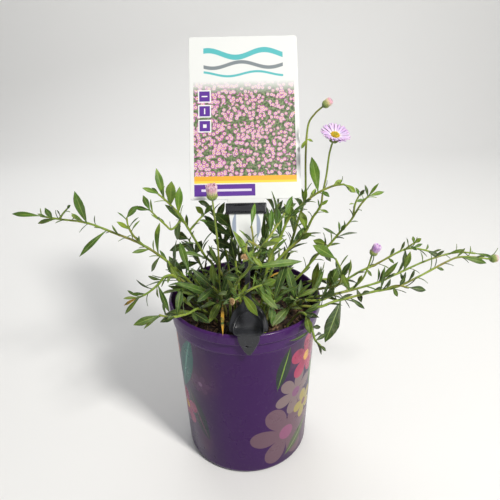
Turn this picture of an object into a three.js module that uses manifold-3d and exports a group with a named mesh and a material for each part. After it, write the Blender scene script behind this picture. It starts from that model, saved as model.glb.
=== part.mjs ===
// A seaside daisy (erigeron) in a 14 cm plastic nursery pot, with a printed card in a clip on the rim.
// Millimetres, +Z up, origin at the middle of the pot's flat base, the card facing -Y.

import * as THREE from 'three';
import { mergeVertices } from 'three/addons/utils/BufferGeometryUtils.js';
import Module from 'manifold-3d';

const wasm = await Module();
wasm.setup();

const GAP = 0.3;

// Pot: injection moulded, tapered, with two steps under the rim
const POT_HEIGHT = 165;
const RIM_RADIUS = 70;
const WALL_TOP_RADIUS = 66.5;
const BASE_RADIUS = 59.5;
const BASE_CORNER = 4;
const WALL = 1.8;
const FLOOR = 2;
const RIM_FOOT = 154.5;
const BEAD_FOOT = 144;
const BEAD_RADIUS = 67.6;
const POT_SIDES = 32;
const DRAIN_HOLES = 8;
const DRAIN_RADIUS = 4.5;
const DRAIN_CIRCLE = 45;

// Potting mix, level with the foot of the rim
const SOIL_TOP = 147.6;
const SOIL_LUMP = 1.1;
const STEM_FOOT = 134;
const STEM_START = 149;

// Stems and leaves
const STEM_RADIUS_LOW = 1.3;
const STEM_RADIUS_TOP = 0.75;
const BRANCH_THIN = 0.8;
const STEM_SIDES = 4;
const STEM_STEP = 28;
const LEAF_HALF_THICKNESS = 0.55;
const LEAF_FOOT = 0.42;
const LEAF_FOLD = 0.24;
const LEAF_ROOT = 0.22;
const LEAF_WIDEST = 0.58;
const LEAF_POINT = 1.05;
const LEAF_WIDTH_SHARE = 0.18;
const LEAF_WIDTH_MOST = 8.5;
const GOLDEN_ANGLE = 2.4;

// Clearances between one plant piece and another
const LEAF_TO_LEAF = 2.3;
const LEAF_TO_STEM = 3.1;
const STEM_TO_STEM = 3.7;
const OWN_LEAF = 1.2;
const TRIES = 40;

// Card and its clip lean back in one plane through CARD_FOOT
const CARD_FOOT = [3.4, -66, 165];
const CARD_LEAN = THREE.MathUtils.degToRad(31);
const CARD_TURN = THREE.MathUtils.degToRad(0.2);
const CARD_WIDTH = 93;
const CARD_HEIGHT = 142.5;
const CARD_THICKNESS = 0.8;
const CARD_BOTTOM = 111;

// Leafy stems. Each passes through the points of its path, the first one on the soil, or joins the stem
// that it names. Its leaves are [where on the path, tip x, y, z, width], and fill is how many more grow on
// it, between which places and how long.
const STEMS = [
  {
    name: 'left_runner',
    path: [
      [-32, 4, 149], [-50, 2, 176], [-68, -4, 201], [-88, -8, 220], [-110, -8, 231], [-134, -5, 240],
      [-159, 0, 242], [-176, 3, 244],
    ],
    leaves: [
      [7.0, -201, 4, 246, 5], [5.0, -137, -14, 272, 8], [5.1, -150, 6, 245, 3],
      [4.3, -141, -18, 214, 5.5], [6.3, -167, -6, 255, 5], [6.1, -182, 8, 235, 4], [2.7, -96, -16, 216, 4],
      [2.0, -58, -16, 188, 5], [2.3, -86, 8, 185, 5],
    ],
    fill: [3, 0.7, 2.7, 30],
  },
  {
    name: 'left_upright',
    path: [
      [-24, 14, 149], [-28, 8, 188], [-36, 5, 203], [-47, 0, 229], [-55, -3, 246], [-63, -6, 258],
      [-70, -8, 266],
    ],
    leaves: [
      [6.0, -82, -12, 273, 4], [5.3, -71, 0, 286, 6.5], [4.7, -57, -14, 279, 9], [4.0, -53, 2, 269, 7],
      [3.8, -60, 10, 216, 7],
    ],
    fill: [3, 0.9, 3.6, 28],
  },
  {
    name: 'left_low',
    path: [
      [-42, -6, 149], [-58, -16, 189], [-67, -24, 197], [-74, -28, 191], [-83, -32, 185],
      [-91, -34, 182],
    ],
    leaves: [
      [5.0, -102, -40, 185, 3], [5.0, -105, -30, 172, 3], [4.7, -103, -38, 168, 4],
      [4.1, -99, -26, 181, 3], [3.0, -63, -46, 174, 5],
    ],
    fill: [2, 1.0, 3.0, 22],
  },
  {
    name: 'left_front',
    path: [[-26, -20, 149], [-38, -38, 172], [-47, -48, 174], [-59, -58, 177], [-68, -64, 183]],
    leaves: [
      [3.9, -88, -72, 179, 6.5], [2.8, -67, -70, 180, 5], [2.7, -52, -42, 195, 6.5],
      [1.7, -28, -60, 172, 6.5],
    ],
    fill: [2, 0.6, 2.0, 26],
  },
  {
    name: 'left_spray',
    path: [[-18, -8, 149], [-20, -20, 170], [-23, -30, 184], [-27, -34, 192]],
    leaves: [
      [1.0, -56, -50, 205, 7], [1.0, -30, -56, 169, 7], [0.8, -17, -76, 170, 3], [2.0, -45, -30, 208, 5.5],
      [2.6, -40, -46, 183, 6.5],
    ],
    fill: [4, 0.3, 2.7, 28],
  },
  {
    name: 'tall_bud',
    path: [
      [-18, -3, 149], [-23, -4, 171], [-22, -8, 194], [-22, -12, 219], [-23, -17, 244], [-24, -22, 265],
    ],
    leaves: [[1.5, -32, -24, 202, 5], [2.3, -16, -2, 211, 4]],
    fill: [4, 0.2, 2.2, 30],
  },
  {
    name: 'centre_tall',
    path: [
      [-8, -26, 149], [-7, -46, 197], [3, -57, 218], [10, -60, 232], [17, -58, 242], [26, -50, 252],
      [33, -42, 260],
    ],
    leaves: [
      [2.2, 47, -52, 223, 6.5], [4.5, 23, -44, 265, 5], [6.0, 40, -30, 270, 4], [1.4, -15, -60, 215, 6.5],
      [3.7, 31, -60, 247, 5],
    ],
    fill: [4, 1.8, 5.7, 28],
  },
  {
    name: 'front_clip',
    path: [[-12, -28, 149], [-11, -46, 184], [-1, -54, 195], [7, -57, 202], [15, -57, 205]],
    leaves: [
      [2.0, 11, -76, 188, 7], [3.2, 27, -70, 190, 6.5], [4.0, 26, -60, 211, 6.5], [1.8, -17, -66, 193, 4],
    ],
    fill: [1, 0.8, 2.4, 22],
  },
  {
    name: 'open_flower',
    path: [
      [20, 0, 149], [19, 0, 182], [36, 4, 203], [50, 5, 216], [56, 5, 225], [61, 3, 238], [67, 0, 250],
      [68, -3, 263], [70, -5, 279], [71, -8, 297], [73, -10, 308],
    ],
    leaves: [[4.0, 51, 10, 242, 7], [6.0, 73, -2, 256, 3], [5.7, 75, 4, 242, 3], [3.0, 60, -8, 228, 5.5]],
    fill: [3, 0.8, 4.0, 30],
  },
  {
    name: 'top_bud',
    path: [
      [27, 14, 149], [37, 20, 187], [44, 20, 206], [49, 18, 227], [55, 14, 252], [55, 12, 265],
      [54, 10, 292], [55, 8, 317], [60, 6, 327], [66, 4, 333],
    ],
    leaves: [
      [6.5, 50, 8, 298, 3], [6.5, 60, 12, 303, 3], [4.0, 50, 18, 262, 3], [3.0, 37, 24, 244, 5],
      [3.8, 54, 2, 267, 4],
    ],
    fill: [3, 0.9, 4.0, 28],
  },
  {
    name: 'upper_right',
    path: [
      [14, -8, 149], [22, -6, 200], [32, -7, 224], [40, -7, 243], [51, -6, 254], [62, -8, 264],
      [75, -10, 271], [84, -12, 273],
    ],
    leaves: [
      [5.1, 57, -6, 295, 8], [7.0, 93, -16, 267, 5], [6.0, 83, -6, 275, 4], [5.3, 72, -14, 263, 4],
      [4.0, 57, -16, 262, 3], [3.0, 48, -18, 253, 4], [2.0, 29, -4, 252, 7], [2.4, 43, 0, 256, 6.5],
    ],
    fill: [3, 0.7, 3.5, 28],
  },
  {
    name: 'right_upper',
    path: [
      [34, 26, 149], [53, 20, 172], [69, 18, 195], [78, 15, 205], [86, 12, 218], [96, 10, 232],
      [103, 8, 247], [109, 6, 256],
    ],
    leaves: [
      [7.0, 116, 2, 269, 3], [7.0, 123, 8, 259, 4], [6.9, 106, 10, 265, 3], [4.2, 91, 6, 230, 4],
      [3.0, 65, 24, 207, 7], [2.4, 80, 8, 192, 5], [3.9, 72, 16, 223, 3],
    ],
    fill: [3, 0.8, 4.2, 26],
  },
  {
    name: 'right_main',
    path: [
      [40, -8, 149], [48, -17, 165], [58, -22, 169], [68, -23, 170], [80, -19, 173], [93, -15, 174],
      [120, -14, 182], [134, -12, 188], [163, -8, 200], [188, -4, 205], [207, -2, 203],
    ],
    leaves: [
      [10.0, 225, 0, 198, 3], [8.7, 194, -8, 210, 3], [7.3, 144, -16, 213, 5.5], [7.2, 140, -18, 185, 3],
      [6.0, 134, -18, 204, 5], [5.3, 104, -22, 166, 5], [6.0, 126, -8, 194, 3],
    ],
    fill: [2, 1.0, 3.5, 30],
  },
  {
    name: 'right_low',
    path: [
      [34, -14, 149], [42, -22, 163], [52, -28, 167], [66, -31, 168], [78, -28, 171], [91, -24, 172],
      [113, -24, 178], [132, -24, 182], [150, -22, 190], [177, -17, 203], [188, -15, 206],
      [204, -12, 204], [217, -10, 201],
    ],
    leaves: [
      [10.1, 212, -16, 200, 5.5], [5.1, 106, -28, 163, 4], [6.3, 119, -30, 206, 3],
      [8.6, 174, -20, 196, 3], [4.6, 69, -48, 142, 12],
    ],
    fill: [1, 0.7, 2.4, 28],
  },
  {
    name: 'right_fork',
    path: [
      [40, 14, 149], [52, 16, 163], [66, 15, 169], [80, 15, 170], [94, 14, 169], [109, 13, 179],
      [123, 13, 186], [144, 13, 199], [155, 13, 202], [170, 13, 199], [180, 13, 194],
    ],
    leaves: [
      [6.5, 138, 6, 190, 3], [8.9, 181, 10, 194, 5], [8.0, 166, 18, 204, 3], [7.4, 147, 6, 187, 5],
      [5.4, 119, 8, 176, 3],
    ],
    fill: [2, 1.0, 5.0, 26],
  },
  {
    name: 'purple_bud',
    path: [
      [48, 2, 149], [58, -8, 163], [69, -14, 169], [83, -12, 170], [97, -6, 171], [106, -9, 182],
      [110, -11, 196], [112, -12, 208],
    ],
    leaves: [[4.5, 107, -4, 184, 4], [4.0, 86, -10, 183, 3]],
    fill: [1, 0.7, 2.8, 24],
  },
  {
    name: 'right_lateral',
    path: [[46, 10, 149], [58, 0, 166], [72, -6, 172], [84, -14, 180], [85, -18, 195], [79, -20, 209]],
    leaves: [
      [5.0, 58, -26, 225, 9], [3.8, 90, -30, 211, 5], [4.0, 90, -34, 185, 5], [2.2, 85, -2, 191, 10.5],
      [1.3, 66, -8, 200, 6.5],
    ],
    fill: [1, 1.0, 2.0, 24],
  },
  {
    name: 'right_drop',
    path: [[38, -30, 149], [47, -38, 166], [53, -48, 169], [57, -56, 159], [59, -58, 152], [64, -56, 145]],
    leaves: [
      [4.8, 69, -56, 139, 3], [4.1, 69, -52, 154, 4], [1.8, 54, -64, 162, 7], [1.1, 67, -40, 165, 5.5],
      [2.7, 64, -52, 161, 4],
    ],
    fill: [1, 1.0, 2.0, 20],
  },
  {
    name: 'right_fan',
    path: [[28, -24, 149], [37, -28, 164], [43, -32, 174], [45, -36, 181]],
    leaves: [
      [2.3, 36, -30, 209, 8], [1.5, 23, -50, 161, 8], [3.0, 42, -18, 190, 5], [2.2, 32, -44, 183, 5.5],
      [2.7, 63, -32, 187, 4],
    ],
    fill: [2, 0.6, 2.7, 26],
  },
  {
    name: 'back_right_a',
    path: [[8, 24, 149], [13, 26, 184], [19, 28, 206], [25, 30, 224], [33, 32, 241]],
    leaves: [
      [2.0, 17, 24, 238, 5.5], [1.7, 26, 30, 230, 5.5], [3.0, 37, 36, 243, 5.5],
      [3.2, 50, 40, 238, 6.5],
    ],
    fill: [4, 0.8, 3.8, 30],
  },
  {
    name: 'back_left_a',
    path: [[-14, 22, 149], [-16, 30, 183], [-21, 34, 204], [-26, 38, 221], [-31, 42, 236]],
    leaves: [
      [2.0, -36, 34, 230, 9.5], [3.0, -17, 36, 242, 6.5], [4.0, -42, 40, 242, 5], [1.7, -10, 28, 225, 6.5],
    ],
    fill: [4, 0.8, 3.8, 30],
  },
  {
    name: 'back_centre',
    path: [[-4, 8, 149], [-7, 16, 178], [-10, 22, 203], [-13, 26, 224]],
    leaves: [
      [3.0, -14, 22, 240, 8], [2.8, -26, 24, 236, 10], [2.4, -37, 24, 228, 9], [1.9, -28, 18, 212, 9],
      [2.3, -4, 20, 226, 8], [1.4, -12, 14, 214, 8],
    ],
    fill: [3, 0.6, 2.6, 30],
  },
  {
    name: 'back_left_b',
    path: [[-30, 26, 149], [-40, 31, 172], [-47, 34, 190], [-53, 36, 205]],
    leaves: [
      [3.0, -66, 34, 212, 8], [2.6, -72, 34, 194, 7], [2.0, -40, 30, 206, 8], [1.5, -68, 34, 176, 8],
    ],
    fill: [3, 0.6, 2.6, 28],
  },
  {
    name: 'left_curl',
    joins: 'left_runner',
    path: [[-87, -8, 219], [-94, -11, 230], [-97, -13, 240], [-97, -14, 248]],
    leaves: [[2.9, -86, -16, 259, 5.5], [1.6, -105, -18, 246, 4]],
    fill: [1, 0.9, 1.8, 16],
  },
  {
    name: 'left_bract',
    joins: 'left_runner',
    path: [[-159, 0, 242], [-154, -3, 248], [-149, -5, 253]],
    leaves: [[2.0, -145, -6, 257, 3]],
  },
  {
    name: 'left_twig',
    joins: 'left_upright',
    path: [[-53, -2, 240], [-61, -8, 234], [-66, -10, 239], [-72, -12, 247], [-77, -14, 254]],
    leaves: [[4.0, -81, -16, 268, 5], [4.0, -90, -12, 256, 4]],
    fill: [1, 1.6, 3.2, 14],
  },
  {
    name: 'left_side',
    joins: 'left_upright',
    path: [[-47, 0, 229], [-39, 5, 237], [-34, 8, 241]],
    leaves: [[1.9, -27, 12, 248, 5], [1.9, -41, 4, 250, 5.5], [1.0, -31, 10, 233, 3]],
  },
  {
    name: 'dry_nod',
    joins: 'centre_tall',
    path: [[14, -59, 238], [9, -72, 248], [4, -76, 252], [3, -77, 248], [2, -77, 242]],
    leaves: [],
  },
  {
    name: 'dry_low',
    joins: 'front_clip',
    path: [[-1, -54, 194], [-5, -60, 195], [-8, -64, 195]],
    leaves: [],
  },
  {
    name: 'right_tuft',
    joins: 'right_upper',
    path: [[98, 10, 237], [98, 6, 249], [100, 2, 258]],
    leaves: [[2.0, 104, 0, 264, 3], [2.0, 96, 0, 266, 3], [1.2, 105, 6, 253, 3]],
  },
  {
    name: 'fork_tuft',
    joins: 'right_fork',
    path: [[148, 13, 200], [151, 9, 206], [154, 7, 210]],
    leaves: [[2.0, 160, 6, 215, 4], [2.0, 153, 9, 216, 3], [1.1, 156, 2, 205, 3]],
  },
  {
    name: 'low_spur',
    joins: 'right_low',
    path: [[122, -24, 180], [132, -28, 186], [142, -30, 185]],
    leaves: [[2.0, 157, -30, 182, 5.5], [1.2, 136, -34, 198, 4], [0.7, 133, -30, 176, 4]],
  },
  {
    name: 'front_twig',
    joins: 'centre_tall',
    path: [[5, -58, 221], [6, -63, 232], [8, -66, 241], [8, -65, 251], [7, -61, 258]],
    leaves: [[3.9, 10, -50, 272, 4], [1.3, 15, -68, 227, 4], [1.9, 0, -70, 232, 5]],
    fill: [1, 1.2, 3.2, 20],
  },
];

// What stands at the end of a stem: sizes in millimetres and the way it faces
const HEADS = {
  open_flower: { kind: 'flower', axis: [0.16, -0.47, 0.87] },
  top_bud: { kind: 'bud', axis: [0.72, -0.1, 0.6], radius: 3.1, cup: 4.1, petals: 3.9 },
  tall_bud: { kind: 'bud', axis: [-0.02, -0.1, 0.99], radius: 4.6, cup: 5.4, petals: 8 },
  purple_bud: { kind: 'bud', axis: [0.4, -0.1, 0.85], radius: 3.6, cup: 4.4, petals: 7 },
  right_low: { kind: 'bud', axis: [0.96, 0.1, 0.1], radius: 3.5, cup: 5, petals: 2.2 },
  dry_nod: { kind: 'dried', axis: [-0.1, -0.1, -1], radius: 2.9 },
  dry_low: { kind: 'dried', axis: [-0.6, -0.5, 0.1], radius: 2.4 },
};

// Short shoots of the crown, set by a rule on the free soil between the traced stems
const SHOOTS = 12;
const SHOOT_INNER = 8;
const SHOOT_OUTER = 54;
const SHOOT_LEAVES = 6;
const SHOOT_HEIGHT = 34;

const plus = (a, b, scale = 1) => [a[0] + b[0] * scale, a[1] + b[1] * scale, a[2] + b[2] * scale];
const times = (a, scale) => [a[0] * scale, a[1] * scale, a[2] * scale];
const dot = (a, b) => a[0] * b[0] + a[1] * b[1] + a[2] * b[2];
const cross = (a, b) => [
  a[1] * b[2] - a[2] * b[1],
  a[2] * b[0] - a[0] * b[2],
  a[0] * b[1] - a[1] * b[0],
];
const span = (a) => Math.sqrt(dot(a, a));
const unit = (a) => times(a, 1 / span(a));

// Seeded draws between 0 and 1
function draws(seed) {
  let state = seed >>> 0;
  return () => {
    state = (state + 0x6d2b79f5) >>> 0;
    let mixed = Math.imul(state ^ (state >>> 15), state | 1);
    mixed ^= mixed + Math.imul(mixed ^ (mixed >>> 7), mixed | 61);
    return ((mixed ^ (mixed >>> 14)) >>> 0) / 4294967296;
  };
}

// Point of a path: Catmull-Rom through its points, "at" counts them
function pointOn(path, at) {
  const last = path.length - 1;
  const i = Math.min(Math.floor(at), last - 1);
  const f = at - i;
  const [a, b, c, d] = [i - 1, i, i + 1, i + 2].map((k) => path[Math.max(0, Math.min(last, k))]);
  return [0, 1, 2].map((k) => 0.5 * (2 * b[k] + (c[k] - a[k]) * f
    + (2 * a[k] - 5 * b[k] + 4 * c[k] - d[k]) * f * f
    + (3 * b[k] - a[k] - 3 * c[k] + d[k]) * f * f * f));
}

function headingOn(path, at) {
  const ahead = pointOn(path, Math.min(at + 0.05, path.length - 1));
  const behind = pointOn(path, Math.max(at - 0.05, 0));
  return unit(plus(ahead, behind, -1));
}

function pathLength(path) {
  let total = 0;
  for (let i = 1; i < path.length; i += 1) total += span(plus(path[i], path[i - 1], -1));
  return total;
}

// Half the blade's width, from 0 to 1: a narrow foot, widest past the middle, a pointed tip
function outline(t) {
  if (t < LEAF_WIDEST) {
    const s = t / LEAF_WIDEST;
    return LEAF_ROOT + (1 - LEAF_ROOT) * s * s * (3 - 2 * s);
  }
  const s = (t - LEAF_WIDEST) / (1 - LEAF_WIDEST);
  return Math.pow(1 - s * s, LEAF_POINT);
}

// A blade's midrib is a quadratic arch from root to tip. At t it has a centre, a way across and a way up.
function bladeAt(leaf, t) {
  const reach = plus(leaf.tip, leaf.root, -1);
  const along = unit(reach);
  const rise = unit(plus(leaf.face, along, -dot(leaf.face, along)));
  const crown = plus(times(plus(leaf.root, leaf.tip), 0.5), rise, leaf.arch * span(reach));
  const start = times(leaf.root, (1 - t) * (1 - t));
  const centre = plus(plus(start, crown, 2 * t * (1 - t)), leaf.tip, t * t);
  const heading = unit(plus(times(plus(crown, leaf.root, -1), 1 - t), plus(leaf.tip, crown, -1), t));
  const level = unit(cross(heading, rise));
  const upright = cross(level, heading);
  const turn = leaf.twist * t;
  const across = plus(times(level, Math.cos(turn)), upright, Math.sin(turn));
  return { centre, across, up: cross(across, heading), half: (leaf.width / 2) * outline(t) };
}

// Where on its path a stem's solid has rings
function stemStops(path) {
  const stops = [];
  for (let i = 0; i + 1 < path.length; i += 1) {
    const steps = Math.max(1, Math.round(span(plus(path[i + 1], path[i], -1)) / STEM_STEP));
    for (let k = 0; k < steps; k += 1) stops.push(i + k / steps);
  }
  return [...stops, path.length - 1];
}

// A leaf's foot: on the straight line between two of the stem's rings, so that it is inside the stem
function footOn(path, at) {
  const stops = stemStops(path);
  const k = Math.max(0, stops.findLastIndex((stop) => stop < at));
  const share = (at - stops[k]) / (stops[k + 1] - stops[k]);
  return plus(times(pointOn(path, stops[k]), 1 - share), pointOn(path, stops[k + 1]), share);
}

function makeLeaf(path, at, tip, width, face, random) {
  const [root, foot] = [pointOn(path, at), footOn(path, at)];
  return { root, foot, tip, width, face, arch: 0.06 + 0.12 * random(), twist: 0.7 * random() - 0.35 };
}

// Points spread over a blade, from a little past its root
function bladeSamples(leaf) {
  const rows = Math.ceil(span(plus(leaf.tip, leaf.root, -1)) / 2.6);
  const halves = leaf.width > 6 ? 2 : 1;
  const samples = [];
  for (let i = 0; i <= rows; i += 1) {
    const t = i / rows;
    if (t < 0.14) continue;
    const { centre, across, up, half } = bladeAt(leaf, t);
    for (let j = -halves; j <= halves; j += 1) {
      const s = j / halves;
      const point = plus(plus(centre, across, half * s), up, LEAF_FOLD * half * Math.abs(s));
      samples.push({ point, t });
    }
  }
  return samples;
}

// Room taken so far, and the solid things that no leaf may enter
const taken = [];

function take(owner, kind, samples) {
  let centre = [0, 0, 0];
  for (const { point } of samples) centre = plus(centre, point, 1 / samples.length);
  const reach = Math.max(...samples.map(({ point }) => span(plus(point, centre, -1))));
  taken.push({ owner, kind, samples, centre, reach });
}

function inPot([x, y, z]) {
  const radius = Math.sqrt(x * x + y * y);
  if (radius > 61.5 && radius < 73.5 && z < 168) return true;
  return radius < 66 && z < 150.4;
}

function inCard([x, y, z]) {
  const lean = [0, Math.sin(CARD_LEAN), Math.cos(CARD_LEAN)];
  const front = [0, -Math.cos(CARD_LEAN), Math.sin(CARD_LEAN)];
  const from = plus([x, y, z], CARD_FOOT, -1);
  const height = dot(from, lean);
  const proud = Math.abs(dot(from, front));
  const side = Math.abs(from[0]);
  if (height > CARD_BOTTOM - 2 && height < CARD_BOTTOM + CARD_HEIGHT + 2) return side < 48 && proud < 2.6;
  if (side < 20 && y > -76.5 && y < -50 && z < 178) return true;
  if (height < 0 || height > CARD_BOTTOM) return false;
  if (height < 28) return side < 20 - height * 0.55 && proud < 5;
  if (height > 92) return side < 19 && proud < 4.5;
  return side < (height > 60 ? 13.5 : 4.4) && proud < 4;
}

function clearOfRest(owner, samples) {
  if (samples.some(({ point }) => inPot(point) || inCard(point))) return false;
  let centre = [0, 0, 0];
  for (const { point } of samples) centre = plus(centre, point, 1 / samples.length);
  const reach = Math.max(...samples.map(({ point }) => span(plus(point, centre, -1))));
  for (const other of taken) {
    const own = other.owner === owner;
    if (own && other.kind === 'stem') continue;
    const room = other.kind === 'stem' ? LEAF_TO_STEM : own ? OWN_LEAF : LEAF_TO_LEAF;
    if (span(plus(other.centre, centre, -1)) > other.reach + reach + room) continue;
    for (const a of samples) {
      if (own && a.t < 0.35) continue;
      for (const b of other.samples) {
        if (own && b.t < 0.35) continue;
        if (span(plus(a.point, b.point, -1)) < room) return false;
      }
    }
  }
  return true;
}

const TOWARD_VIEWER = [0, -0.905, 0.426];
const FACE_FRONT = [0, -0.78, 0.62];
const UP = [0, 0, 1];

// A traced leaf keeps its place in the front view and is bent nearer or farther until it is clear
function placeTraced(owner, path, [at, x, y, z, width], seed) {
  const root = pointOn(path, at);
  for (let go = 0; go < TRIES; go += 1) {
    const random = draws(seed * 97 + go);
    const depth = (go % 2 ? 1 : -1) * Math.ceil(go / 2) * 1.6;
    const shrink = 1 - 0.012 * go;
    const aimed = plus(root, plus([x, y, z], root, -1), shrink);
    const leaf = makeLeaf(path, at, plus(aimed, TOWARD_VIEWER, depth), width, FACE_FRONT, random);
    const samples = bladeSamples(leaf);
    if (clearOfRest(owner, samples)) {
      take(owner, 'leaf', samples);
      return leaf;
    }
  }
  return null;
}

// The other leaves stand round the stem a golden angle apart, each drawn again until it is clear
function placeGrown(owner, path, at, turn, length, seed) {
  const root = pointOn(path, at);
  const heading = headingOn(path, at);
  const first = unit(cross(heading, [0.31, 0.9, 0.17]));
  const second = cross(heading, first);
  for (let go = 0; go < TRIES; go += 1) {
    const random = draws(seed * 131 + go);
    const angle = turn + (random() - 0.5) * (0.8 + 0.12 * go);
    const spread = 0.75 + 0.55 * random();
    const outward = plus(times(first, Math.cos(angle)), second, Math.sin(angle));
    const tilted = plus(times(heading, Math.cos(spread)), outward, Math.sin(spread));
    const way = unit(plus(tilted, UP, 0.22));
    const reach = length * (0.72 + 0.42 * random()) * (1 - 0.01 * go);
    const width = Math.min(reach * (LEAF_WIDTH_SHARE + 0.08 * random()), LEAF_WIDTH_MOST);
    const face = unit(plus(heading, UP, 0.7));
    const leaf = makeLeaf(path, at, plus(root, way, reach), width, face, random);
    const samples = bladeSamples(leaf);
    if (clearOfRest(owner, samples)) {
      take(owner, 'leaf', samples);
      return leaf;
    }
  }
  return null;
}

function stemSamples(path) {
  const count = Math.ceil(pathLength(path) / 2.5);
  return Array.from({ length: count + 1 }, (_, i) => {
    const at = (i / count) * (path.length - 1);
    return { point: pointOn(path, at), t: 1 };
  });
}

// Crown shoots lean out from the middle; each is drawn again until its stem is clear
function growShoot(number) {
  for (let go = 0; go < TRIES; go += 1) {
    const random = draws(number * 211 + go);
    const angle = GOLDEN_ANGLE * number + (random() - 0.5) * 1.2;
    const spread = Math.sqrt((number + 0.5) / SHOOTS) * (0.85 + 0.15 * random());
    const radius = SHOOT_INNER + (SHOOT_OUTER - SHOOT_INNER) * spread;
    const outward = [Math.cos(angle), Math.sin(angle), 0];
    const lean = 0.25 + 0.5 * random();
    const height = SHOOT_HEIGHT * (0.8 + 0.6 * random());
    const base = [radius * outward[0], radius * outward[1], STEM_START];
    const middle = plus(plus(base, UP, height * 0.5), outward, height * 0.2 * lean);
    const end = plus(plus(base, UP, height), outward, height * lean * 0.8);
    const path = [base, middle, end];
    const samples = stemSamples(path);
    const open = samples.slice(1).every(({ point }) => !inCard(point)) && taken.every((other) => {
      const room = other.kind === 'stem' ? STEM_TO_STEM : LEAF_TO_STEM;
      return samples.every((a) => other.samples.every((b) => span(plus(a.point, b.point, -1)) > room));
    });
    if (open) return { name: `crown_shoot_${String(number + 1).padStart(2, '0')}`, path };
  }
  return null;
}

// Plants: every stem with the leaves that found room
function growAll() {
  const plants = STEMS.map((stem) => ({ ...stem, owner: stem.joins ?? stem.name, grown: [] }));
  for (const plant of plants) take(plant.owner, 'stem', stemSamples(plant.path));
  plants.forEach((plant, number) => {
    plant.leaves.forEach((leaf, i) => {
      plant.grown.push(placeTraced(plant.owner, plant.path, leaf, 1000 + number * 40 + i));
    });
  });
  for (let number = 0; number < SHOOTS; number += 1) {
    const shoot = growShoot(number);
    if (shoot) {
      const fill = [SHOOT_LEAVES, 0.35, 2, SHOOT_HEIGHT];
      take(shoot.name, 'stem', stemSamples(shoot.path));
      plants.push({ ...shoot, owner: shoot.name, leaves: [], grown: [], fill });
    }
  }
  plants.forEach((plant, number) => {
    const [count, from, to, length] = plant.fill ?? [0, 0, 0, 0];
    for (let i = 0; i < count; i += 1) {
      const at = from + ((to - from) * (i + 0.5)) / count;
      const turn = GOLDEN_ANGLE * i + number;
      plant.grown.push(placeGrown(plant.owner, plant.path, at, turn, length, 5000 + number * 40 + i));
    }
  });
  for (const plant of plants) plant.grown = plant.grown.filter((leaf) => leaf);
  return plants;
}

// Solids

// A closed mesh as a solid, turned outside out where its volume comes out negative
function solidFrom(points, corners) {
  let volume = 0;
  for (let i = 0; i < corners.length; i += 3) {
    const [a, b, c] = [0, 1, 2].map((k) => points[corners[i + k]]);
    volume += dot(a, cross(b, c));
  }
  const ordered = volume < 0 ? corners.slice().reverse() : corners;
  return new wasm.Manifold(new wasm.Mesh({
    numProp: 3,
    vertProperties: new Float32Array(points.flat()),
    triVerts: new Uint32Array(ordered),
  }));
}

function solidOf(geometry) {
  const bare = geometry.clone();
  bare.deleteAttribute('normal');
  bare.deleteAttribute('uv');
  const merged = mergeVertices(bare, 1e-4);
  const place = merged.attributes.position;
  const pointAt = (i) => [place.getX(i), place.getY(i), place.getZ(i)];
  const points = Array.from({ length: place.count }, (_, i) => pointAt(i));
  const corners = [];
  for (let i = 0; i < merged.index.count; i += 3) {
    const [a, b, c] = [0, 1, 2].map((k) => merged.index.getX(i + k));
    if (a !== b && b !== c && c !== a) corners.push(a, b, c);
  }
  return solidFrom(points, corners);
}

function geometryOf(solid) {
  const mesh = solid.getMesh();
  const geometry = new THREE.BufferGeometry();
  geometry.setAttribute('position', new THREE.BufferAttribute(mesh.vertProperties, 3));
  geometry.setIndex(new THREE.BufferAttribute(mesh.triVerts, 1));
  geometry.computeVertexNormals();
  return geometry;
}

// A closed skin over rings of points; a ring of one point is a tip. Both halves of a ring are split
// along matching diagonals, so that a thin blade's two faces never cross.
function loft(rings) {
  const points = rings.flat();
  const corners = [];
  let start = 0;
  for (let k = 0; k + 1 < rings.length; k += 1) {
    const [here, there] = [rings[k].length, rings[k + 1].length];
    const next = start + here;
    const sides = Math.max(here, there);
    for (let i = 0; i < sides; i += 1) {
      const j = (i + 1) % sides;
      if (there === 1) corners.push(start + i, start + j, next);
      else if (here === 1) corners.push(start, next + j, next + i);
      else if (i < sides / 2) corners.push(start + i, start + j, next + j, start + i, next + j, next + i);
      else corners.push(start + i, start + j, next + i, start + j, next + j, next + i);
    }
    start = next;
  }
  const cap = (from, count, outward) => {
    for (let i = 1; i + 1 < count; i += 1) {
      const [a, b, c] = [1, 1 + i, 2 + i].map((k) => from + (k % count));
      corners.push(...(outward ? [a, b, c] : [a, c, b]));
    }
  };
  if (rings[0].length > 1) cap(0, rings[0].length, false);
  if (rings.at(-1).length > 1) cap(start, rings.at(-1).length, true);
  return solidFrom(points, corners);
}

// Stations along a blade, each with a share of the outline there: wide blades have a shallow tooth a side
const BLADE_STATIONS = {
  small: [[0, 1], [0.58, 1], [1, 0]],
  medium: [[0, 1], [0.35, 1.05], [0.66, 1.02], [1, 0]],
  toothed: [[0, 1], [0.32, 1.05], [0.58, 1.04], [0.66, 0.92], [0.76, 1.1], [1, 0]],
};
const MEDIUM_BLADE = 7;
const TOOTHED_BLADE = 8.6;

function bladeSolid(leaf) {
  const broad = leaf.width < TOOTHED_BLADE ? 'medium' : 'toothed';
  const stations = BLADE_STATIONS[leaf.width < MEDIUM_BLADE ? 'small' : broad];
  return loft(stations.map(([t, tooth]) => {
    const blade = bladeAt(leaf, t);
    if (tooth === 0) return [blade.centre];
    const { across, up } = blade;
    const centre = t === 0 ? leaf.foot : blade.centre;
    const side = t === 0 ? LEAF_FOOT : blade.half * tooth;
    const thick = t === 0 ? LEAF_FOOT : LEAF_HALF_THICKNESS;
    const raised = times(up, LEAF_FOLD * side);
    return [
      plus(plus(centre, raised), across, -side),
      plus(centre, up, thick),
      plus(plus(centre, raised), across, side),
      plus(centre, up, -thick),
    ];
  }));
}

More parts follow.
